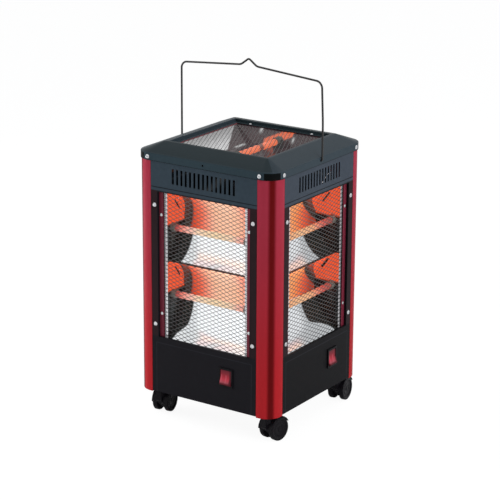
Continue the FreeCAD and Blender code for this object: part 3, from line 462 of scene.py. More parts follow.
# %% Group: skin of paint or plastic
def make_skin_group():
    """Fine grain as height, with a slow drift of shade and gloss around 1."""
    group, given, result = new_group("skin", {"Grain": 900.0, "Drift": 0.12, "Gloss drift": 0.1},
                                     ("Shade", "Gloss", "Height"))
    slow = noise(group, scale=9.0, detail=4.0) - 0.5
    dust = noise(group, scale=160.0, detail=5.0) - 0.5
    feed(result, Shade=slow * given["Drift"] + dust * given["Drift"] + 1.0,
         Gloss=slow * given["Gloss drift"] + 1.0, Height=noise(group, given["Grain"], detail=3.0))
    return group


# %% Group: rolled metal
def make_rolled_group():
    """Fine streaks along X and Z, as rolled and wiped sheet shows."""
    group, given, result = new_group("rolled", {"Grain": 260.0, "Drift": 0.2}, ("Shade", "Gloss", "Height"))
    along = noise(group, given["Grain"], detail=4.0, stretch=(0.08, 0.08, 1.0))
    across = noise(group, given["Grain"], detail=4.0, stretch=(1.0, 1.0, 0.1))
    both = (along + across) * 0.5
    spread = (both - 0.5) * given["Drift"]
    clouds = (noise(group, scale=14.0, detail=3.0) - 0.5) * given["Drift"]
    feed(result, Shade=spread + clouds + 1.0, Gloss=spread * 2.0 + 1.0, Height=both)
    return group


SKIN = make_skin_group()
ROLLED = make_rolled_group()
print("groups", [group.name for group in bpy.data.node_groups])


# %% Material builder
def finish(name, colour, roughness, grain, drift, bump, group, **sockets):
    """A material whose colour, gloss and height come from one of the groups."""
    material = bpy.data.materials.new(name)
    material.use_nodes = True
    tree = material.node_tree
    effect = placed(group, material, Grain=grain, Drift=drift)
    tint = tree.nodes.new("ShaderNodeMix")
    tint.data_type = "RGBA"
    tint.blend_type = "MULTIPLY"
    feed(tint, Factor=1.0, A=colour, B=effect["Shade"])
    raised = tree.nodes.new("ShaderNodeBump")
    feed(raised, Strength=bump, Distance=0.2 * MM, Height=effect["Height"])
    feed(tree.nodes["Principled BSDF"], Base_Color=Value(tree, tint.outputs["Result"]),
         Roughness=effect["Gloss"] * roughness, Normal=Value(tree, raised.outputs["Normal"]), **sockets)
    return material


def toned(material, colour):
    """Gives a finish a colour that changes from place to place, still under its drift of shade."""
    feed(material.node_tree.nodes["Mix"], A=colour)


def tint_of(material):
    """The colour of a finish as its group left it."""
    return Value(material.node_tree, material.node_tree.nodes["Mix"].outputs["Result"])


def covered(material, colour):
    """Sets the base colour of a finish over what its group gives."""
    feed(material.node_tree.nodes["Principled BSDF"], Base_Color=colour)


def glowing(material, light, strength=1.0):
    """Lets a finish give off light."""
    feed(material.node_tree.nodes["Principled BSDF"], Emission_Color=light, Emission_Strength=strength)


# %% Paint, plastic, ceramic and glass
# name, colour, roughness, grain, drift and bump, then the specular level
PAINTS = (
    ("column_red", (0.39, 0.024, 0.038), 0.34, 700.0, 0.1, 0.1, 0.05),
    ("panel_black", (0.005, 0.005, 0.0065), 0.42, 1100.0, 0.3, 0.2, 0.06),
    ("cover_grey", (0.026, 0.039, 0.047), 0.36, 1100.0, 0.2, 0.18, 0.05),
    # the posts take the columns' red given darker, as painted shade of the window recess behind the mesh
    ("post_wine", (0.16, 0.018, 0.035), 0.4, 1100.0, 0.3, 0.2, 0.15),
    ("switch_black", (0.004, 0.004, 0.005), 0.35, 1500.0, 0.3, 0.15, 0.1),
    ("castor_black", (0.006, 0.005, 0.007), 0.4, 1200.0, 0.3, 0.2, 0.1),
    ("switch_red", (0.06, 0.008, 0.012), 0.3, 1500.0, 0.15, 0.08, 0.08),
    ("handle_wire", (0.012, 0.012, 0.012), 0.35, 1500.0, 0.3, 0.15, 0.5),
    ("ceramic", (0.22, 0.22, 0.19), 0.6, 1800.0, 0.3, 0.4, 0.5),
    ("quartz", (0.14, 0.10, 0.08), 0.3, 900.0, 0.15, 0.05, 0.2),
    ("top_quartz", (0.5, 0.2, 0.15), 0.3, 900.0, 0.15, 0.05, 0.5),
)
(red_paint, black_paint, slate_paint, shaded_post_paint, black_plastic, castor_plastic, red_plastic, wire_coat,
 ceramic, quartz_glass, top_glass) = (finish(*row, SKIN, Specular_IOR_Level=level) for *row, level in PAINTS)

# %% Bare metals
# the same, with how metallic it is at the end
METALS = (
    ("zinc", (0.66, 0.67, 0.69), 0.28, 500.0, 0.3, 0.15, 1.0),
    ("mesh_silver", (0.11, 0.11, 0.115), 0.38, 700.0, 0.35, 0.2, 0.7),
    ("top_mesh_silver", (0.05, 0.05, 0.052), 0.4, 700.0, 0.35, 0.2, 0.7),
    ("trough_steel", (0.30, 0.30, 0.31), 0.16, 200.0, 0.06, 0.02, 1.0),
    # the end plates are near black, a painted dark reflection; their painted glow reflection follows further
    # on
    ("end_plate_steel", (0.03, 0.034, 0.033), 0.28, 300.0, 0.3, 0.1, 0.8),
    ("pan_steel", (0.10, 0.09, 0.09), 0.18, 200.0, 0.3, 0.03, 1.0),
    ("coil_glow", (0.3, 0.12, 0.08), 0.5, 900.0, 0.3, 0.1, 0.0),
)
zinc, mesh_steel, top_mesh_steel, trough_steel, plate_steel, pan_steel, coil_wire = (
    finish(*row, ROLLED, Metallic=metallic) for *row, metallic in METALS)
print("finishes", len(bpy.data.materials))

# %% [markdown]
# ## Glowing pieces and painted reflections
# A coil glows evenly but its ends are cooler, because the caps draw heat away. So the tubes are
# pale in the middle and red at their ends. The upper half of each trough faces down to its tube and
# carries a painted reflection of the glow, while the lower half faces up to the room and carries a
# painted silver-white reflection of the room. The end plates carry painted reflections in the same
# way. One group measures the place on a side: how far along the face, how deep behind it and how
# high above the tube of that lobe.

# %% Group: place on a side
HOT_SHIFT = 10.0


def make_place_group():
    """Millimetres on a side: Along from its hot middle, Edge from its true middle, Shaded from there towards
    the end that the reflections leave dark, Depth behind the face, Over the tube of the lobe, and Height.
    Cross is 1 on the left and right sides."""
    labels = ("Along", "Edge", "Shaded", "Depth", "Over", "Height", "Cross")
    group, _, result = new_group("side_place", {}, labels)
    x, y, z = axes(group, "Object", TO_MILLIMETRES)
    wide = abs(x)
    deep = abs(y)
    cross = wide.above(deep)
    front = 1.0 - cross
    low_lobe = 1.0 - z.above(TROUGH_CUSP)
    upper_tube, lower_tube = TUBE_HEIGHTS
    feed(result, Along=abs(y + HOT_SHIFT) * cross + abs(x - HOT_SHIFT) * front,
         Edge=maths("MINIMUM", wide, deep), Shaded=y * cross - x * front, Depth=FACE - wide.either(deep),
         Over=z - upper_tube + low_lobe * (upper_tube - lower_tube), Height=z, Cross=cross)
    return group


PLACE = make_place_group()


def facing_out(material):
    """A mask that is 1 on faces that look away from the middle of the heater."""
    x, y, _ = axes(material.node_tree, "Object")
    normal_x, normal_y, _ = axes(material.node_tree, "Normal")
    return (x * normal_x + y * normal_y).above(0.0)


def measured(material, *labels):
    """Some of the measures of the place group, for one material."""
    measures = placed(PLACE, material)
    return [measures[label] for label in labels]


def facing_along(material, cross):
    """A mask that is 1 on faces that look along the face of their side, as end plates do."""
    normal_x, normal_y, _ = axes(material.node_tree, "Normal")
    sideways = abs(normal_y) * cross + abs(normal_x) * (1.0 - cross)
    return sideways.above(0.7)


def by_side(cross, pair):
    """The first number of a pair on the front and back, the second on the left and right."""
    return cross * (pair[1] - pair[0]) + pair[0]


def slanted(cross, over, starts, slopes):
    """A length along a face that leans with the height over the tube; the last two are pairs as above."""
    return by_side(cross, starts) + over * by_side(cross, slopes)


# %% Quartz and coil
TUBE_HEAT = ((0.0, 0.84, 0.64, 0.40), (32.0, 0.84, 0.60, 0.42), (44.0, 0.82, 0.45, 0.36),
             (54.0, 0.80, 0.33, 0.27), (62.0, 0.74, 0.20, 0.15), (70.0, 0.40, 0.05, 0.05),
             (78.0, 0.25, 0.02, 0.015))
SIDE_TUBE_HEAT = ((0.0, 0.78, 0.42, 0.20), (22.0, 0.78, 0.38, 0.18), (40.0, 0.74, 0.30, 0.13),
                  (50.0, 0.72, 0.20, 0.11), (60.0, 0.60, 0.12, 0.07), (70.0, 0.54, 0.06, 0.05),
                  (82.0, 0.32, 0.035, 0.03))
SIDE_TUBE_SHIFT = 30.0
along, cross = measured(quartz_glass, "Along", "Cross")
_, y, _ = axes(quartz_glass.node_tree, "Object", TO_MILLIMETRES)
side_light = abs(y + SIDE_TUBE_SHIFT).ramp(SIDE_TUBE_HEAT)
glowing(quartz_glass, cross.choose(along.ramp(TUBE_HEAT), side_light))

# the top tube's glow has one dark stretch
DARK_STRETCH = (2.5, 12.5)
_, y, _ = axes(top_glass.node_tree, "Object", TO_MILLIMETRES)
glowing(top_glass, y.within(*DARK_STRETCH).choose((1.0, 0.18, 0.055), (0.05, 0.01, 0.006)))
glowing(coil_wire, (1.0, 0.45, 0.12), strength=2.0)

# %% [markdown]
# The trough is painted in zones of light, all of them painted reflections and shade. Its upper half
# shows a painted reflection of the tube: pale in the middle, red further out, then a painted dark band
# and a painted reflection of the end plate's glow. The lower half shows a painted reflection of the
# white room up to a painted dark reflection of the end plates. A thin painted shade lies along the fold
# between the lobes, and the back of the sheet is darkened as painted shade inside the heater. Two
# straight limits that lean with height separate the zones.

# %% Trough metal
# painted reflections of the tube's glow in the upper half of the troughs, on the front and back and on the
# left and right sides
TROUGH_GLOW_REFLECTION = ((0.0, 1.0, 0.56, 0.37), (18.0, 1.0, 0.53, 0.34), (28.0, 1.0, 0.46, 0.30),
               (38.0, 0.95, 0.29, 0.18), (48.0, 0.90, 0.16, 0.085), (58.0, 0.80, 0.10, 0.04),
               (68.0, 0.60, 0.06, 0.025))
SIDE_GLOW_REFLECTION = ((0.0, 1.0, 0.40, 0.16), (20.0, 0.98, 0.32, 0.11), (34.0, 0.95, 0.21, 0.07),
             (46.0, 0.85, 0.12, 0.05), (58.0, 0.66, 0.085, 0.04), (68.0, 0.42, 0.05, 0.025))
# the painted reflection of the end plate's glow, then the painted reflection of the white room, brighter on
# the front and back than on the left and right sides
PLATE_GLOW_REFLECTION = (0.86, 0.095, 0.03)
ROOM_WHITE = (0.75, 0.78, 0.80)
SIDE_WHITE = (0.50, 0.53, 0.55)
# limits of the painted zones as pairs of starts and slopes; the painted reflection of the white room
# is wider by a pair in the lowest part of a lobe
GLOW_END = ((59.8, 65.0), (-0.27, -1.3))
BAND_END = ((77.0, 82.0), (-0.3, -1.0))
WHITE_END = (55.0, 30.0)
WHITE_WIDER = (11.0, 35.0)
# half the width of the painted shade along the fold; then the painted dark band, the painted dark reflection
# of the end plates, the painted shade of the fold, the metal dimmed under the painted light, and the back of
# the sheet darkened as painted shade
CUSP_HALF = 1.7
BAND_DARK = (0.045, 0.03, 0.025)
PLATE_REFLECTION_DARK = (0.012, 0.015, 0.014)
CUSP_DARK = (0.02, 0.012, 0.01)
PAINTED_TONE = (0.05, 0.035, 0.03)
BACK_TONE = (0.06, 0.062, 0.064)
along, shaded, over, height, cross = measured(trough_steel, "Along", "Shaded", "Over", "Height", "Cross")
upper = over.rising(-15.0, -11.0)
past_glow = (shaded - slanted(cross, over, *GLOW_END)).rising(-3.0, 2.0)
past_band = (shaded - slanted(cross, over, *BAND_END)).rising(-1.0, 1.0)
reflected_glow = cross.choose(along.ramp(TROUGH_GLOW_REFLECTION), along.ramp(SIDE_GLOW_REFLECTION))
reflected_glow = past_band.choose(past_glow.choose(reflected_glow, BAND_DARK), PLATE_GLOW_REFLECTION)
white_limit = by_side(cross, WHITE_END) + over.falling(-68.0, -52.0) * by_side(cross, WHITE_WIDER)
past_white = (shaded - white_limit).rising(-1.5, 1.5)
room = past_white.choose(cross.choose(ROOM_WHITE, SIDE_WHITE), PLATE_REFLECTION_DARK)
cusp = 1.0 - abs(height - TROUGH_CUSP).above(CUSP_HALF)
light = cusp.choose(upper.choose(room, reflected_glow), CUSP_DARK)
painted_zones = upper.either(past_white).either(cusp)
front_face = facing_out(trough_steel) * (1.0 - facing_along(trough_steel, cross))
# the front of the sheet gives off the painted reflections and shade; the back gives off none
glowing(trough_steel, front_face.choose(BLACK, light))
covered(trough_steel, front_face.choose(BACK_TONE, painted_zones.choose(tint_of(trough_steel), PAINTED_TONE)))

# %% End plate metal
# the upper half of the inner face carries a painted reflection of the trough's glow, a painted highlight runs
# along the rim of the outward flange, and the flange takes the posts' dark red, their red with painted shade
# of the window recess
FLANGE_SHADED_RED = (0.13, 0.016, 0.03)
RIM_HIGHLIGHT_BASE = (0.5, 0.51, 0.52)
RIM_HIGHLIGHT = (0.2, 0.2, 0.21)
edge, depth, over, cross = measured(plate_steel, "Edge", "Depth", "Over", "Cross")
outward = facing_out(plate_steel)
flat_face = facing_along(plate_steel, cross) * edge.falling(73.7, 73.9)
glow_reflection_zone = over.rising(3.0, 8.0) * (1.0 - outward) * flat_face
flange = depth.falling(8.3, 8.8) * outward
rim_highlight = flange * edge.falling(78.6, 79.4)
covered(plate_steel, rim_highlight.choose(flange.choose(tint_of(plate_steel), FLANGE_SHADED_RED), RIM_HIGHLIGHT_BASE))
glowing(plate_steel, rim_highlight.choose(glow_reflection_zone.choose(BLACK, PLATE_GLOW_REFLECTION), RIM_HIGHLIGHT))

# %% Panel paint
# the black is given a painted slate sheen above the window, lighter on the left and right sides, with
# painted shade in its crease; reddish stiles stand beside the window, the black lower down is lighter
# on the front and back as painted light, and a faint painted highlight runs along a pressed line below
# the window
panel_paint = black_paint.copy()
panel_paint.name = "panel_paint"
HEADER_SHEEN_TONES = ((0.033, 0.049, 0.064), (0.046, 0.058, 0.076))
BLACK_TONES = ((0.009, 0.0085, 0.011), (0.0045, 0.0045, 0.0055))
edge, height, cross = measured(panel_paint, "Edge", "Height", "Cross")
header = height.rising(384.0, 386.0)
crease = height.within(389.8, 391.2, 0.4)
stile = edge.rising(87.0, 89.0) * height.rising(142.0, 146.0)
pressed_line_highlight = height.within(132.6, 133.8, 0.5) * edge.falling(90.5, 91.5)
pressed_line_highlight = pressed_line_highlight.either(edge.within(90.6, 91.8, 0.5) * height.falling(133.0, 134.0))
header_sheen = crease.choose(cross.choose(*HEADER_SHEEN_TONES), (0.008, 0.010, 0.014))
black_tone = stile.choose(cross.choose(*BLACK_TONES), (0.020, 0.0105, 0.0125))
black_tone = pressed_line_highlight.choose(black_tone, (0.018, 0.018, 0.023))
toned(panel_paint, header.choose(black_tone, header_sheen))

# %% Column paint and cover paint
# a painted dark reflection runs down each column, along the line that looks straight out of its
# corner, and the red is pinker and a little darker towards the top
x, y, z = axes(red_paint.node_tree, "Object", TO_MILLIMETRES)
BODY_REDS = ((0.40, 0.015, 0.020), (0.34, 0.029, 0.053))
CORNER_DARK_REFLECTION = (0.115, 0.002, 0.003)
off_corner = abs(abs(x) - abs(y)).rising(3.0, 12.0)
toned(red_paint, off_corner.choose(CORNER_DARK_REFLECTION, z.rising(60.0, 420.0).choose(*BODY_REDS)))
# the skirt of the cover is dark over each column, where the real one is notched round the column's cap
# painted light: the cover is lighter on the left and right sides than on the front and back, and its bevel is
# darker than its skirt
FRONT_TONES = ((0.029, 0.047, 0.058), (0.018, 0.029, 0.034))
SIDE_TONES = ((0.036, 0.051, 0.063), (0.031, 0.045, 0.056))
edge, height, cross = measured(slate_paint, "Edge", "Height", "Cross")
notch = edge.rising(111.5, 112.5) * height.falling(442.4, 443.2)
# a painted shadow line along the lower edge of the skirt
hem_shadow = height.falling(432.0, 432.8)
bevel = height.rising(443.0, 445.0)
covered(slate_paint, notch.either(hem_shadow).choose(tint_of(slate_paint), (0.002, 0.003, 0.003)))
toned(slate_paint, cross.choose(bevel.choose(*FRONT_TONES), bevel.choose(*SIDE_TONES)))

# %% Rocker with its lamp
# the lamp of the rocker lights the lower half, and two ribs inside show as pale upright lines
KEY_TONES = ((88.0, 0.02, 0.002, 0.003), (92.0, 0.03, 0.004, 0.005), (94.5, 0.34, 0.07, 0.09),
             (98.0, 0.50, 0.045, 0.07), (103.0, 0.34, 0.022, 0.035), (108.0, 0.19, 0.018, 0.026),
             (114.0, 0.07, 0.012, 0.018))
KEY_RIBS = ((35.0, 37.0), (43.4, 45.6))
RIB_PINK = (0.62, 0.14, 0.18)
END_RED = (0.025, 0.004, 0.006)
edge, height = measured(red_plastic, "Edge", "Height")
key_light = edge.rising(49.0, 52.5).choose(height.ramp(KEY_TONES, reach=120.0), END_RED)
for low, high in KEY_RIBS:
    rib = edge.within(low, high, 0.7) * height.within(94.0, 106.0, 2.0)
    key_light = (rib * 0.4).choose(key_light, RIB_PINK)
glowing(red_plastic, key_light, strength=0.75)
print("glow ready")

# %% [markdown]
# ## Sheet metal with soft edges
# Real sheet has no knife edges: each fold and pressed rim catches a thin line of light. The frame
# has these sheets exactly, with sharp edges. So each one is copied, its loose triangles are
# merged back into whole faces, and a narrow bevel rounds what is sharp.

# %% Soften a copy of a frame node
def softened(node, width):
    """A copy of a frame node with its sharp edges rounded."""
    piece = only(added(node + "_soft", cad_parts[node].data.copy()))
    editing()
    bpy.ops.mesh.customdata_custom_splitnormals_clear()
    bpy.ops.mesh.remove_doubles(threshold=0.002 * MM)
    bpy.ops.mesh.tris_convert_to_quads(face_threshold=math.radians(0.6), shape_threshold=math.radians(60.0))
    leave()
    modify(piece, "BEVEL", width=width * MM, segments=2, limit_method="ANGLE",
           angle_limit=math.radians(28.0), use_clamp_overlap=True, miter_outer="MITER_ARC")
    soft_shade(piece, 40.0)
    return modify(piece, "WEIGHTED_NORMAL", keep_sharp=True, weight=100)


def dressed(node, width, name, material, slot, body="root"):
    """A softened copy in place of its own node."""
    return finished(softened(node, width), name, body, material, slot, node)


dressed("top_cover", 1.0, "top_cover_sheet", slate_paint, "cover_grey")
dressed("base_tray", 0.3, "base_tray_sheet", black_paint, "panel_black")
for side in SIDES:
    dressed(side + "_panel", 0.35, side + "_panel_sheet", panel_paint, "panel_black")
for corner, _, _ in CORNERS:
    dressed(corner + "_column", 0.35, corner + "_column_sheet", red_paint, "column_red")
    dressed(corner + "_post", 0.3, corner + "_post_sheet", shaded_post_paint, "panel_black")
print("sheets softened")

# %% [markdown]
# ## Expanded metal
# The meshes are slit and stretched sheet: each opening is a lying diamond, and each strand is
# twisted a little, which gives the net its glitter. One diamond ring is modelled: a circle of
# four corners is inset, its middle is removed, and the inner corners are pushed up and down for
# the twist. Two arrays repeat it as bricks, and one bisect for each edge trims the field.

# %% One diamond ring
def extruded(move):
    """Pushes the selection out by a move."""
    bpy.ops.mesh.extrude_region_move(TRANSFORM_OT_translate={"value": move})


def diamond_ring(long_pitch, short_pitch, strand, thick, twist):
    """One opening of expanded metal in the XZ plane, with shared outer corners."""
    half_long = long_pitch / 2.0 * MM
    half_short = short_pitch / 2.0 * MM
    begin()
    bpy.ops.mesh.primitive_circle_add(vertices=4, radius=1.0, fill_type="NGON",
                                      rotation=(math.pi / 2.0, 0.0, 0.0))
    ring = bpy.context.object
    ring.scale = (half_long, half_short, 1.0)
    applied()
    editing()
    bpy.ops.mesh.inset(thickness=strand * MM / 2.0)
    bpy.ops.mesh.delete(type="FACE")
    pick_all()
    extruded((0.0, thick * MM, 0.0))
    pick("FACE", lambda at, normal: abs(normal.y) < 0.5
         and abs(at.x) / half_long + abs(at.z) / half_short > 0.99)
    bpy.ops.mesh.delete(type="ONLY_FACE")
    for sign in (-1, 1):
        pick("VERT", lambda at, normal: abs(at.x) < 0.001 * MM and 0.0 < sign * at.z < half_short - 0.01 * MM)
        bpy.ops.transform.translate(value=(0.0, sign * twist * MM, 0.0))
    leave()
    return ring


# %% Field of diamonds
def diamond_field(long_pitch, short_pitch, strand, thick, twist, half_x, half_z):
    """Expanded metal that fills a rectangle round the origin, in the XZ plane."""
    ring = diamond_ring(long_pitch, short_pitch, strand, thick, twist)
    other = copied(ring, moved(long_pitch / 2.0, 0.0, short_pitch / 2.0))
    pair = joined([ring, other])
    columns = int(2.0 * half_x / long_pitch) + 3
    rows = int(2.0 * half_z / short_pitch) + 3
    for count, offset in ((columns, (long_pitch * MM, 0.0, 0.0)), (rows, (0.0, 0.0, short_pitch * MM))):
        modify(pair, "ARRAY", count=count, use_relative_offset=False, use_constant_offset=True,
               constant_offset_displace=offset, use_merge_vertices=True, merge_threshold=0.01 * MM)
    place(pair, moved(-(columns // 2) * long_pitch, 0.0, -(rows // 2) * short_pitch))
    for axis, half in (((1, 0, 0), half_x), ((0, 0, 1), half_z)):
        for sign in (-1, 1):
            out = Vector(axis) * sign
            editing()
            bpy.ops.mesh.bisect(plane_co=out * half * MM, plane_no=out, clear_outer=True, use_fill=False)
            leave()
    editing()
    bpy.ops.mesh.remove_doubles(threshold=0.01 * MM)
    bpy.ops.mesh.flip_normals()
    leave()
    return soft_shade(pair, 30.0)


# %% Meshes of the four windows and the top
NET_HALF = 89.5
NET_HALF_HEIGHT = 124.0
WINDOW_MIDDLE_Z = 263.0
MESH_DEPTH = 6.2
TOP_MESH_Z = 449.6
LONG_PITCH = 13.5
SHORT_PITCH = 6.5
field = diamond_field(LONG_PITCH, SHORT_PITCH, strand=0.85, thick=0.5, twist=0.35,
                      half_x=NET_HALF, half_z=NET_HALF_HEIGHT)
print("mesh faces", len(field.data.polygons))
place(field, moved(0.0, MESH_DEPTH - FACE, WINDOW_MIDDLE_Z))
for net in on_four_sides(field, "_mesh", mesh_steel, "mesh_silver", "_grille"):
    net.visible_glossy = False
top_field = diamond_field(LONG_PITCH, SHORT_PITCH, strand=0.7, thick=0.25, twist=0.12,
                          half_x=NET_HALF, half_z=NET_HALF)
place(top_field, moved(0.0, 0.0, TOP_MESH_Z) @ to_side(1) @ Matrix.Rotation(-math.pi / 2.0, 4, "X"))
finished(top_field, "top_mesh", "root", top_mesh_steel, "mesh_silver", "top_grille")

# %% [markdown]
# ## Turned pieces
# Wheels, screw heads, caps and tubes are round, so half of the section is drawn as a chain of
# points and spun about its axis. That gives rings and rims that a plain cylinder lacks.

# %% Chain of points
def chain_of(points):
    """A mesh of points in millimetres joined one after the other, still in edit mode."""
    begin()
    bpy.ops.mesh.primitive_plane_add(size=MM)
    chain = bpy.context.object
    editing()
    bpy.ops.mesh.merge(type="CENTER")
    bpy.ops.transform.translate(value=Vector(points[0]) * MM)
    for here, following in zip(points, points[1:]):
        extruded((Vector(following) - Vector(here)) * MM)
    return chain


# %% Spin a section
def turned(section, steps, closed=False):
    """Spins a chain of (radius, height) points in millimetres about Z."""
    chain = section + section[:1] if closed else section
    piece = chain_of([(radius, 0.0, height) for radius, height in chain])
    pick_all()
    bpy.ops.mesh.spin(steps=steps, angle=2.0 * math.pi, center=(0, 0, 0), axis=(0, 0, 1))
    clean()
    return piece


def aimed(start, direction):
    """The matrix that carries Z to a direction at a place in millimetres."""
    turn = Vector(direction).to_track_quat("Z", "Y").to_matrix().to_4x4()
    return Matrix.Translation(Vector(start) * MM) @ turn


# %% Screws
def screw(radius, height):
    """A pan head with a cross recess, its foot on the XY plane."""
    head = turned([(0.0, height), (radius * 0.45, height * 0.96), (radius * 0.8, height * 0.75),
                   (radius, height * 0.3), (radius, 0.0), (0.0, 0.0)], steps=24)
    begin()
    for degrees in (20.0, 110.0):
        bpy.ops.mesh.primitive_cube_add(size=1.0, location=(0.0, 0.0, height * MM),
                                        rotation=(0.0, 0.0, math.radians(degrees)),
                                        scale=(radius * 0.95 * MM, radius * 0.22 * MM, height * 0.7 * MM))
        cutter = bpy.context.object
        modify(head, "BOOLEAN", object=cutter, operation="DIFFERENCE", solver="EXACT")
        discard(cutter)
    return soft_shade(head, 30.0)


large = screw(3.4, 1.7)
small = screw(2.6, 1.2)
# a head, its distance from the middle of the side, from the heater's axis and from the floor
SIDE_SCREWS = ((large, 92.6, 130.0, 361.0), (large, 92.6, 130.0, 164.0), (small, 83.15, 125.6, 345.0),
               (small, 83.15, 125.6, 182.0), (large, 104.5, 131.5, 437.6))
TOP_SCREW_X = 59.0
TOP_SCREW_Y = 87.5
TOP_SCREW_Z = 451.9
heads = []
for side in range(4):
    for sign in (-1, 1):
        for head, across, out, up in SIDE_SCREWS:
            heads.append(copied(head, to_side(side) @ aimed((sign * across, -out, up), (0, -1, 0))))
for sign_y in (1, -1):
    for sign_x in (-1, 1):
        at = (sign_x * TOP_SCREW_X, sign_y * TOP_SCREW_Y, TOP_SCREW_Z)
        heads.append(copied(small, aimed(at, (0, 0, 1))))
finished(joined(heads), "screws", "root", zinc, "zinc")
discard(large, small)
print("screws", len(heads))

# %% [markdown]
# ## The bail handle
# The handle is one bent wire. A chain of points follows its corners, the corners are rounded by a
# vertex bevel, and the chain becomes a curve with a round section. The hooks turn inward through
# the skirt.

# %% Bent wire
def wire_round(chain, corners):
    """Rounds corners of the chain in edit mode; each is a place and the length that the round takes."""
    for corner, reach in corners:
        pick("VERT", lambda at, normal: (at - Vector(corner) * MM).length < 0.01 * MM)
        bpy.ops.mesh.bevel(offset=reach * MM, segments=8, affect="VERTICES", offset_type="OFFSET")
    leave()
    return chain


def wire_thick(chain, radius):
    """Turns the chain into a round wire with closed ends."""
    only(chain)
    bpy.ops.object.convert(target="CURVE")
    curve = bpy.context.object
    curve.data.bevel_depth = radius * MM
    curve.data.bevel_resolution = 4
    curve.data.use_fill_caps = True
    bpy.ops.object.convert(target="MESH")
    wire = only(bpy.context.object)
    editing()
    clean()
    return soft_shade(wire, 50.0)


WIRE_RADIUS = 1.58
HOOK_X = 126.4
HOOK_Z = 438.0
LEG_X = 133.5
LEG_LEAN = 2.8
LEAN_FROM_Z = 498.0
SHOULDER_Z = 561.6
BAIL_CORNERS = [(-HOOK_X, 0, HOOK_Z), (-LEG_X, 0, HOOK_Z), (-LEG_X, 0, SHOULDER_Z), (-19.0, 0, 571.0),
                (-4.0, 0, 582.1), (11.0, 0, 571.0), (LEG_X - LEG_LEAN, 0, SHOULDER_Z),
                (LEG_X, 0, LEAN_FROM_Z), (LEG_X, 0, HOOK_Z), (HOOK_X, 0, HOOK_Z)]
REACHES = (2.2, 9.6, 3.5, 3.0, 3.5, 9.6, 8.0, 2.2)
bail = wire_thick(wire_round(chain_of(BAIL_CORNERS), zip(BAIL_CORNERS[1:-1], REACHES)), WIRE_RADIUS)
finished(bail, "bail_wire", "bail", wire_coat, "handle_wire", "bail_handle")
print("bail", [round(v * TO_MILLIMETRES, 1) for v in bail.dimensions])

# %% [markdown]
# ## Castors
# Each castor is a twin wheel: two black discs with a web between them and a hood over the top. The
# discs are turned with the rings that moulded wheels have. The housing is a softened copy.

# %% Wheel and housing
WHEEL_R = 19.0
TRAIL = 16.0
CASTOR_OUT = 103.5
YAWS = {"front_right": -10.0, "back_right": 7.0, "back_left": 12.0, "front_left": 10.0}
WHEEL_SECTION = [(0.0, 13.3), (3.4, 13.3), (3.8, 12.7), (6.2, 12.6), (6.8, 12.9), (10.2, 12.9), (10.8, 12.5),
                 (13.8, 12.6), (14.6, 13.4), (15.4, 14.1), (17.6, 14.2), (18.7, 13.6), (WHEEL_R, 12.6),
                 (WHEEL_R, 7.4), (18.5, 6.2), (17.0, 5.75), (0.0, 5.75)]
wheel = soft_shade(turned(WHEEL_SECTION, steps=56), 30.0)
# spun about Z, then laid so that Z becomes the axle (X) and X becomes the trailing side (Y)
lay = Matrix(((0, 0, 1, 0), (1, 0, 0, TRAIL * MM), (0, 1, 0, WHEEL_R * MM), (0, 0, 0, 1)))
mirror = Matrix.Scale(-1.0, 4, (0, 0, 1))
for corner, sign_x, sign_y in CORNERS:
    yaw = Matrix.Rotation(math.radians(YAWS[corner]), 4, "Z")
    seat = moved(sign_x * CASTOR_OUT, sign_y * CASTOR_OUT, 0.0) @ yaw @ lay
    pair = joined_clean([copied(wheel, seat), copied(wheel, seat @ mirror)], 30.0)
    finished(pair, corner + "_wheels", corner + "_wheels", castor_plastic, "castor_black",
             corner + "_castor_wheels")
    dressed(corner + "_castor_housing", 0.4, corner + "_housing", castor_plastic, "castor_black",
            corner + "_castor")
discard(wheel)
print("castors done")

# %% [markdown]
# ## Reflectors
# Behind each mesh stands one bright sheet, rolled into two troughs, one for each tube. Its section
# is drawn as a chain of two arcs with short lips, then pushed out to its width and thickened.
# Where the lobes meet, the fold has a small radius.

# %% Two lobes
LIP_DEPTH = 9.0
CUSP_DEPTH = 14.0
DEEPEST = 53.0
TROUGH_TOP = 384.0
TROUGH_BOTTOM = 141.5
ARC_STEPS = 36


def arc_through(first, middle, last):
    """Points of the circle through three (depth, height) points, the ends included."""
    (ax, ay), (bx, by), (cx, cy) = first, middle, last
    a, b, c = (x * x + y * y for x, y in (first, middle, last))
    d = 2.0 * (ax * (by - cy) + bx * (cy - ay) + cx * (ay - by))
    centre_x = (a * (by - cy) + b * (cy - ay) + c * (ay - by)) / d
    centre_y = (a * (cx - bx) + b * (ax - cx) + c * (bx - ax)) / d
    radius = math.hypot(ax - centre_x, ay - centre_y)
    start = math.atan2(ay - centre_y, ax - centre_x)
    end = math.atan2(cy - centre_y, cx - centre_x)
    turns = [start + (end - start) * step / ARC_STEPS for step in range(ARC_STEPS + 1)]
    return [(centre_x + radius * math.cos(turn), centre_y + radius * math.sin(turn)) for turn in turns]


UPPER_LOBE = arc_through((LIP_DEPTH, TROUGH_TOP), (DEEPEST, (TROUGH_TOP + TROUGH_CUSP) / 2.0),
                         (CUSP_DEPTH, TROUGH_CUSP))
LOWER_LOBE = arc_through((CUSP_DEPTH, TROUGH_CUSP), (DEEPEST, (TROUGH_BOTTOM + TROUGH_CUSP) / 2.0),
                         (LIP_DEPTH, TROUGH_BOTTOM))


def lobes_chain(x, top, bottom):
    """The outline of both lobes as a chain at one X, with a (depth, height) point before and after it."""
    outline = [top] + UPPER_LOBE + LOWER_LOBE[1:] + [bottom]
    return chain_of([(x, depth - FACE, height) for depth, height in outline])


print("lobes", UPPER_LOBE[0], UPPER_LOBE[-1], LOWER_LOBE[-1])

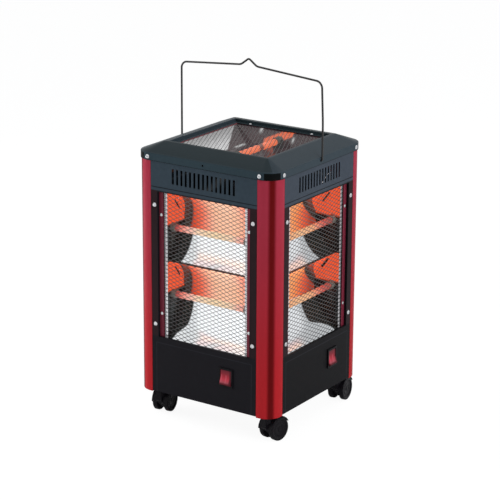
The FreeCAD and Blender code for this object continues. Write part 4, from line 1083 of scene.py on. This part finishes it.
# %% Trough sheet
TROUGH_HALF = 73.1
SHEET = 0.8
LIP = 5.8
CUSP_ROUND = 1.2
trough = lobes_chain(-TROUGH_HALF, (LIP_DEPTH, TROUGH_TOP + LIP), (LIP_DEPTH, TROUGH_BOTTOM - LIP))
pick("VERT", lambda at, normal: abs(at.z - TROUGH_CUSP * MM) < 0.01 * MM)
bpy.ops.mesh.bevel(offset=CUSP_ROUND * MM, segments=4, affect="VERTICES", offset_type="OFFSET")
for move in ((2.0 * TROUGH_HALF * MM, 0.0, 0.0), (0.0, SHEET * MM, 0.0)):
    pick_all()
    extruded(move)
clean()
on_four_sides(soft_shade(trough, 40.0), "_trough", trough_steel, "mirror_steel", "_reflector")

# %% [markdown]
# ## End plates
# A plate closes each end of the troughs and turns outward behind the mesh. It holds the tube caps
# in two round seats. A slanted slot above each seat takes the clip of the cap. The slot stops short
# of the back, so it keeps a thin floor that stays dark: a dark sheet put in for the shade behind it.

# %% End plate
PLATE_OUT = 74.5
PLATE = 1.0
TUBE_DEPTH = 20.8
SEAT_RADIUS = 7.35
# the slot leaves this thin floor, a dark sheet put in for the shade behind the slot
SLOT_FLOOR = 0.3
SLOT_DEPTH = 33.5
SLOT_OVER_TUBE = 34.5
SLOT_LONG = 21.4
SLOT_WIDE = 3.0
SLOT_SLANT = math.atan2(-17.0, 13.0)
CUTTER = 4.0
FLANGE_DEPTH = 7.2
FLANGE_WIDE = 14.5
plate = lobes_chain(-PLATE_OUT, (FLANGE_DEPTH, TROUGH_TOP), (FLANGE_DEPTH, TROUGH_BOTTOM))
pick_all()
bpy.ops.mesh.edge_face_add()
extruded((PLATE * MM, 0.0, 0.0))
clean()


def combined(operation):
    """Cuts the active object out of the plate or adds it."""
    other = bpy.context.object
    modify(plate, "BOOLEAN", object=other, operation=operation, solver="EXACT")
    discard(other)


begin()
for height in TUBE_HEIGHTS:
    seat_at = (-(PLATE_OUT - PLATE / 2.0) * MM, (TUBE_DEPTH - FACE) * MM, height * MM)
    bpy.ops.mesh.primitive_cylinder_add(vertices=32, radius=SEAT_RADIUS * MM, depth=CUTTER * MM,
                                        rotation=(0.0, math.pi / 2.0, 0.0), location=seat_at)
    combined("DIFFERENCE")
    slot_at = (-(PLATE_OUT - SLOT_FLOOR - CUTTER / 2.0) * MM, (SLOT_DEPTH - FACE) * MM,
               (height + SLOT_OVER_TUBE) * MM)
    begin()
    bpy.ops.mesh.primitive_cube_add(size=1.0, rotation=(SLOT_SLANT, 0.0, 0.0), location=slot_at,
                                    scale=(CUTTER * MM, SLOT_LONG * MM, SLOT_WIDE * MM))
    bpy.ops.object.transform_apply(location=False, rotation=True, scale=True)
    editing()
    pick("EDGE", lambda at, along: abs(along.x) > 0.9)
    bpy.ops.mesh.bevel(offset=1.4 * MM, segments=4)
    leave()
    combined("DIFFERENCE")
    begin()
flange_at = (-(PLATE_OUT + FLANGE_WIDE / 2.0 - PLATE) * MM, (FLANGE_DEPTH + PLATE / 2.0 - FACE) * MM,
             (TROUGH_TOP + TROUGH_BOTTOM) / 2.0 * MM)
bpy.ops.mesh.primitive_cube_add(size=1.0, location=flange_at,
                                scale=(FLANGE_WIDE * MM, PLATE * MM, (TROUGH_TOP - TROUGH_BOTTOM) * MM))
applied()
combined("UNION")
modify(plate, "BEVEL", width=0.25 * MM, segments=2, limit_method="ANGLE", angle_limit=math.radians(40.0))
soft_shade(plate, 35.0)
plates = joined_clean([plate, copied(plate, Matrix.Scale(-1.0, 4, (1, 0, 0)))], 35.0)
on_four_sides(plates, "_end_plates", plate_steel, "mirror_steel", "_reflector_ends")
print("end plates done")

# %% [markdown]
# ## Tubes, coils and caps
# A quartz tube is open at both ends and holds a wound coil of resistance wire. A ceramic cap closes
# each end and carries the terminal. The tube and cap are turned. The coil is one ring, swept up its
# own helix by the screw modifier.

# %% Tube, coil and cap
TUBE_HALF = 65.4
CAP_FROM_MIDDLE = 65.5
COIL_PITCH = 2.4
COIL_RADIUS = 2.3
COIL_WIRE = 0.5


def quartz(half):
    """A hollow tube along Z with polished ends."""
    rim = half - 0.3
    tube = turned([(4.2, -rim), (4.5, -half), (4.9, -half), (5.2, -rim), (5.2, rim), (4.9, half), (4.5, half),
                   (4.2, rim)], steps=32, closed=True)
    return soft_shade(tube, 50.0)


def winding(half):
    """A coil of wire along Z inside a tube."""
    turns = int((2.0 * half - 4.0) / COIL_PITCH)
    begin()
    bpy.ops.mesh.primitive_circle_add(vertices=5, radius=COIL_WIRE * MM, rotation=(math.pi / 2.0, 0.0, 0.0),
                                      location=(COIL_RADIUS * MM, 0.0, -turns * COIL_PITCH / 2.0 * MM))
    ring = applied()
    modify(ring, "SCREW", axis="Z", angle=2.0 * math.pi, screw_offset=COIL_PITCH * MM, iterations=turns,
           steps=10, render_steps=10, use_merge_vertices=True)
    return soft_shade(ring, 70.0)


# the foot of the cap rests on the tube, and the terminal pin stands at its far end
CAP_SECTION = [(0.0, 0.0), (6.3, 0.0), (6.9, 0.6), (6.9, 3.2), (6.5, 3.6), (6.5, 4.4), (6.9, 4.8),
               (6.9, 12.2), (6.4, 12.8), (6.4, 15.4), (5.8, 16.4), (2.6, 16.6), (2.4, 16.9), (0.0, 16.9)]
cap = soft_shade(turned(CAP_SECTION, steps=28), 35.0)

# %% Eight tubes in the sides
tube = quartz(TUBE_HALF)
coil = winding(TUBE_HALF)
caps = []
coils = []
for index, side in enumerate(SIDES):
    pair = []
    for height in TUBE_HEIGHTS:
        lying = to_side(index) @ aimed((0.0, TUBE_DEPTH - FACE, height), (1, 0, 0))
        pair.append(copied(tube, lying))
        coils.append(copied(coil, lying))
        for sign in (-1, 1):
            cap_at = aimed((sign * CAP_FROM_MIDDLE, TUBE_DEPTH - FACE, height), (sign, 0, 0))
            caps.append(copied(cap, to_side(index) @ cap_at))
    tubes = finished(joined(pair), side + "_quartz_tubes", "root", quartz_glass, "quartz",
                     side + "_heating_tubes")
    tubes.visible_glossy = False
discard(tube, coil)

# %% Ninth tube under the top mesh
TOP_HALF = 51.9
TOP_CAP_FROM_MIDDLE = 52.0
TOP_TUBE_X = 12.0
TOP_TUBE_Z = 439.5
along_y = aimed((TOP_TUBE_X, 0.0, TOP_TUBE_Z), (0, 1, 0))
coils.append(place(winding(TOP_HALF), along_y))
for sign in (-1, 1):
    caps.append(copied(cap, aimed((TOP_TUBE_X, sign * TOP_CAP_FROM_MIDDLE, TOP_TUBE_Z), (0, sign, 0))))
finished(place(quartz(TOP_HALF), along_y), "top_quartz_tube", "root", top_glass, "quartz", "top_heating_tube")
finished(joined(coils), "coils", "root", coil_wire, "coil_glow", "heating_coils")
finished(joined(caps), "caps", "root", ceramic, "ceramic", "tube_caps")
discard(cap)
print("tubes done")

# %% [markdown]
# ## The pan under the top mesh
# The pan is a shallow pressed dish with two clips that hold the ninth tube. The frame has its exact
# shape, so a softened copy serves. Its light is all painted: its left wall carries a painted reflection
# of the white room, its middle is painted dark, its left rim carries a painted red reflection of the
# tube, the tube is seen again in it as a painted red reflection streak, and a few painted glints shine.

# %% Top pan
# glints: from, to and softness across, then the same from front to back
GLINTS = ((-46.5, -43.5, 1.5, 24.0, 50.0, 6.0), (-37.0, -31.0, 3.0, 80.0, 85.0, 2.5),
          (28.0, 32.0, 2.0, 75.5, 79.5, 2.0))
# painted reflections: the dark middle, the white room on the left wall, the tube on the left rim and in a
# streak, and painted glints; the painted light fades towards the left edge
PAN_DARK = (0.035, 0.017, 0.021)
PAN_WHITE = (0.78, 0.79, 0.80)
RIM_TUBE_REFLECTION = (0.22, 0.07, 0.08)
STREAK_RED = (0.95, 0.16, 0.05)
GLINT_WHITE = (0.6, 0.62, 0.62)
x, y, _ = axes(pan_steel.node_tree, "Object", TO_MILLIMETRES)
_, _, upward = axes(pan_steel.node_tree, "Normal")
white_wall = x.within(-84.0, -46.0) * (y + x * 1.957 + 86.0).falling(-3.0, 1.0)
reflected_rim = x.within(-91.0, -84.0, 0.8)
streak = (y - x * 0.263).within(73.2, 81.5, 1.0) * x.within(-24.0, 27.0)
light = white_wall.choose(PAN_DARK, PAN_WHITE)
light = (x.rising(-84.0, -48.0) * 0.55 + 0.45).choose(BLACK, light)
light = reflected_rim.choose(light, RIM_TUBE_REFLECTION)
light = streak.choose(light, STREAK_RED)
for left, right, soft_x, near, far, soft_y in GLINTS:
    glint = x.within(left, right, soft_x) * y.within(near, far, soft_y)
    light = glint.choose(light, GLINT_WHITE)
glowing(pan_steel, upward.above(0.1).choose(BLACK, light))
dressed("top_reflector", 0.4, "top_pan", pan_steel, "mirror_steel")

# %% [markdown]
# ## Switches and small fittings
# A rocker switch is a moulded box with a thin bezel, and its rocker turns on two trunnions. The
# cord gland, the terminal block and the castors' stems, nuts and axles are small turned or moulded
# pieces. Their shapes are exact in the frame, so each one is a copy with its edges rounded.

# %% Switches
for side in SIDES:
    dressed(side + "_switch_body", 0.35, side + "_switch_box", black_plastic, "switch_black")
    dressed(side + "_rocker", 0.45, side + "_switch_key", red_plastic, "switch_red", side + "_switch")

# %% Fittings
dressed("castor_stems", 0.4, "castor_stems_soft", zinc, "zinc")
dressed("castor_nuts", 0.5, "castor_nuts_soft", zinc, "zinc")
dressed("cord_gland", 0.6, "cord_gland_soft", black_plastic, "switch_black")
dressed("terminal_block", 0.5, "terminal_block_soft", ceramic, "ceramic")
for corner, _, _ in CORNERS:
    dressed(corner + "_castor_axle", 0.25, corner + "_axle", zinc, "zinc", corner + "_wheels")
print("fittings done")
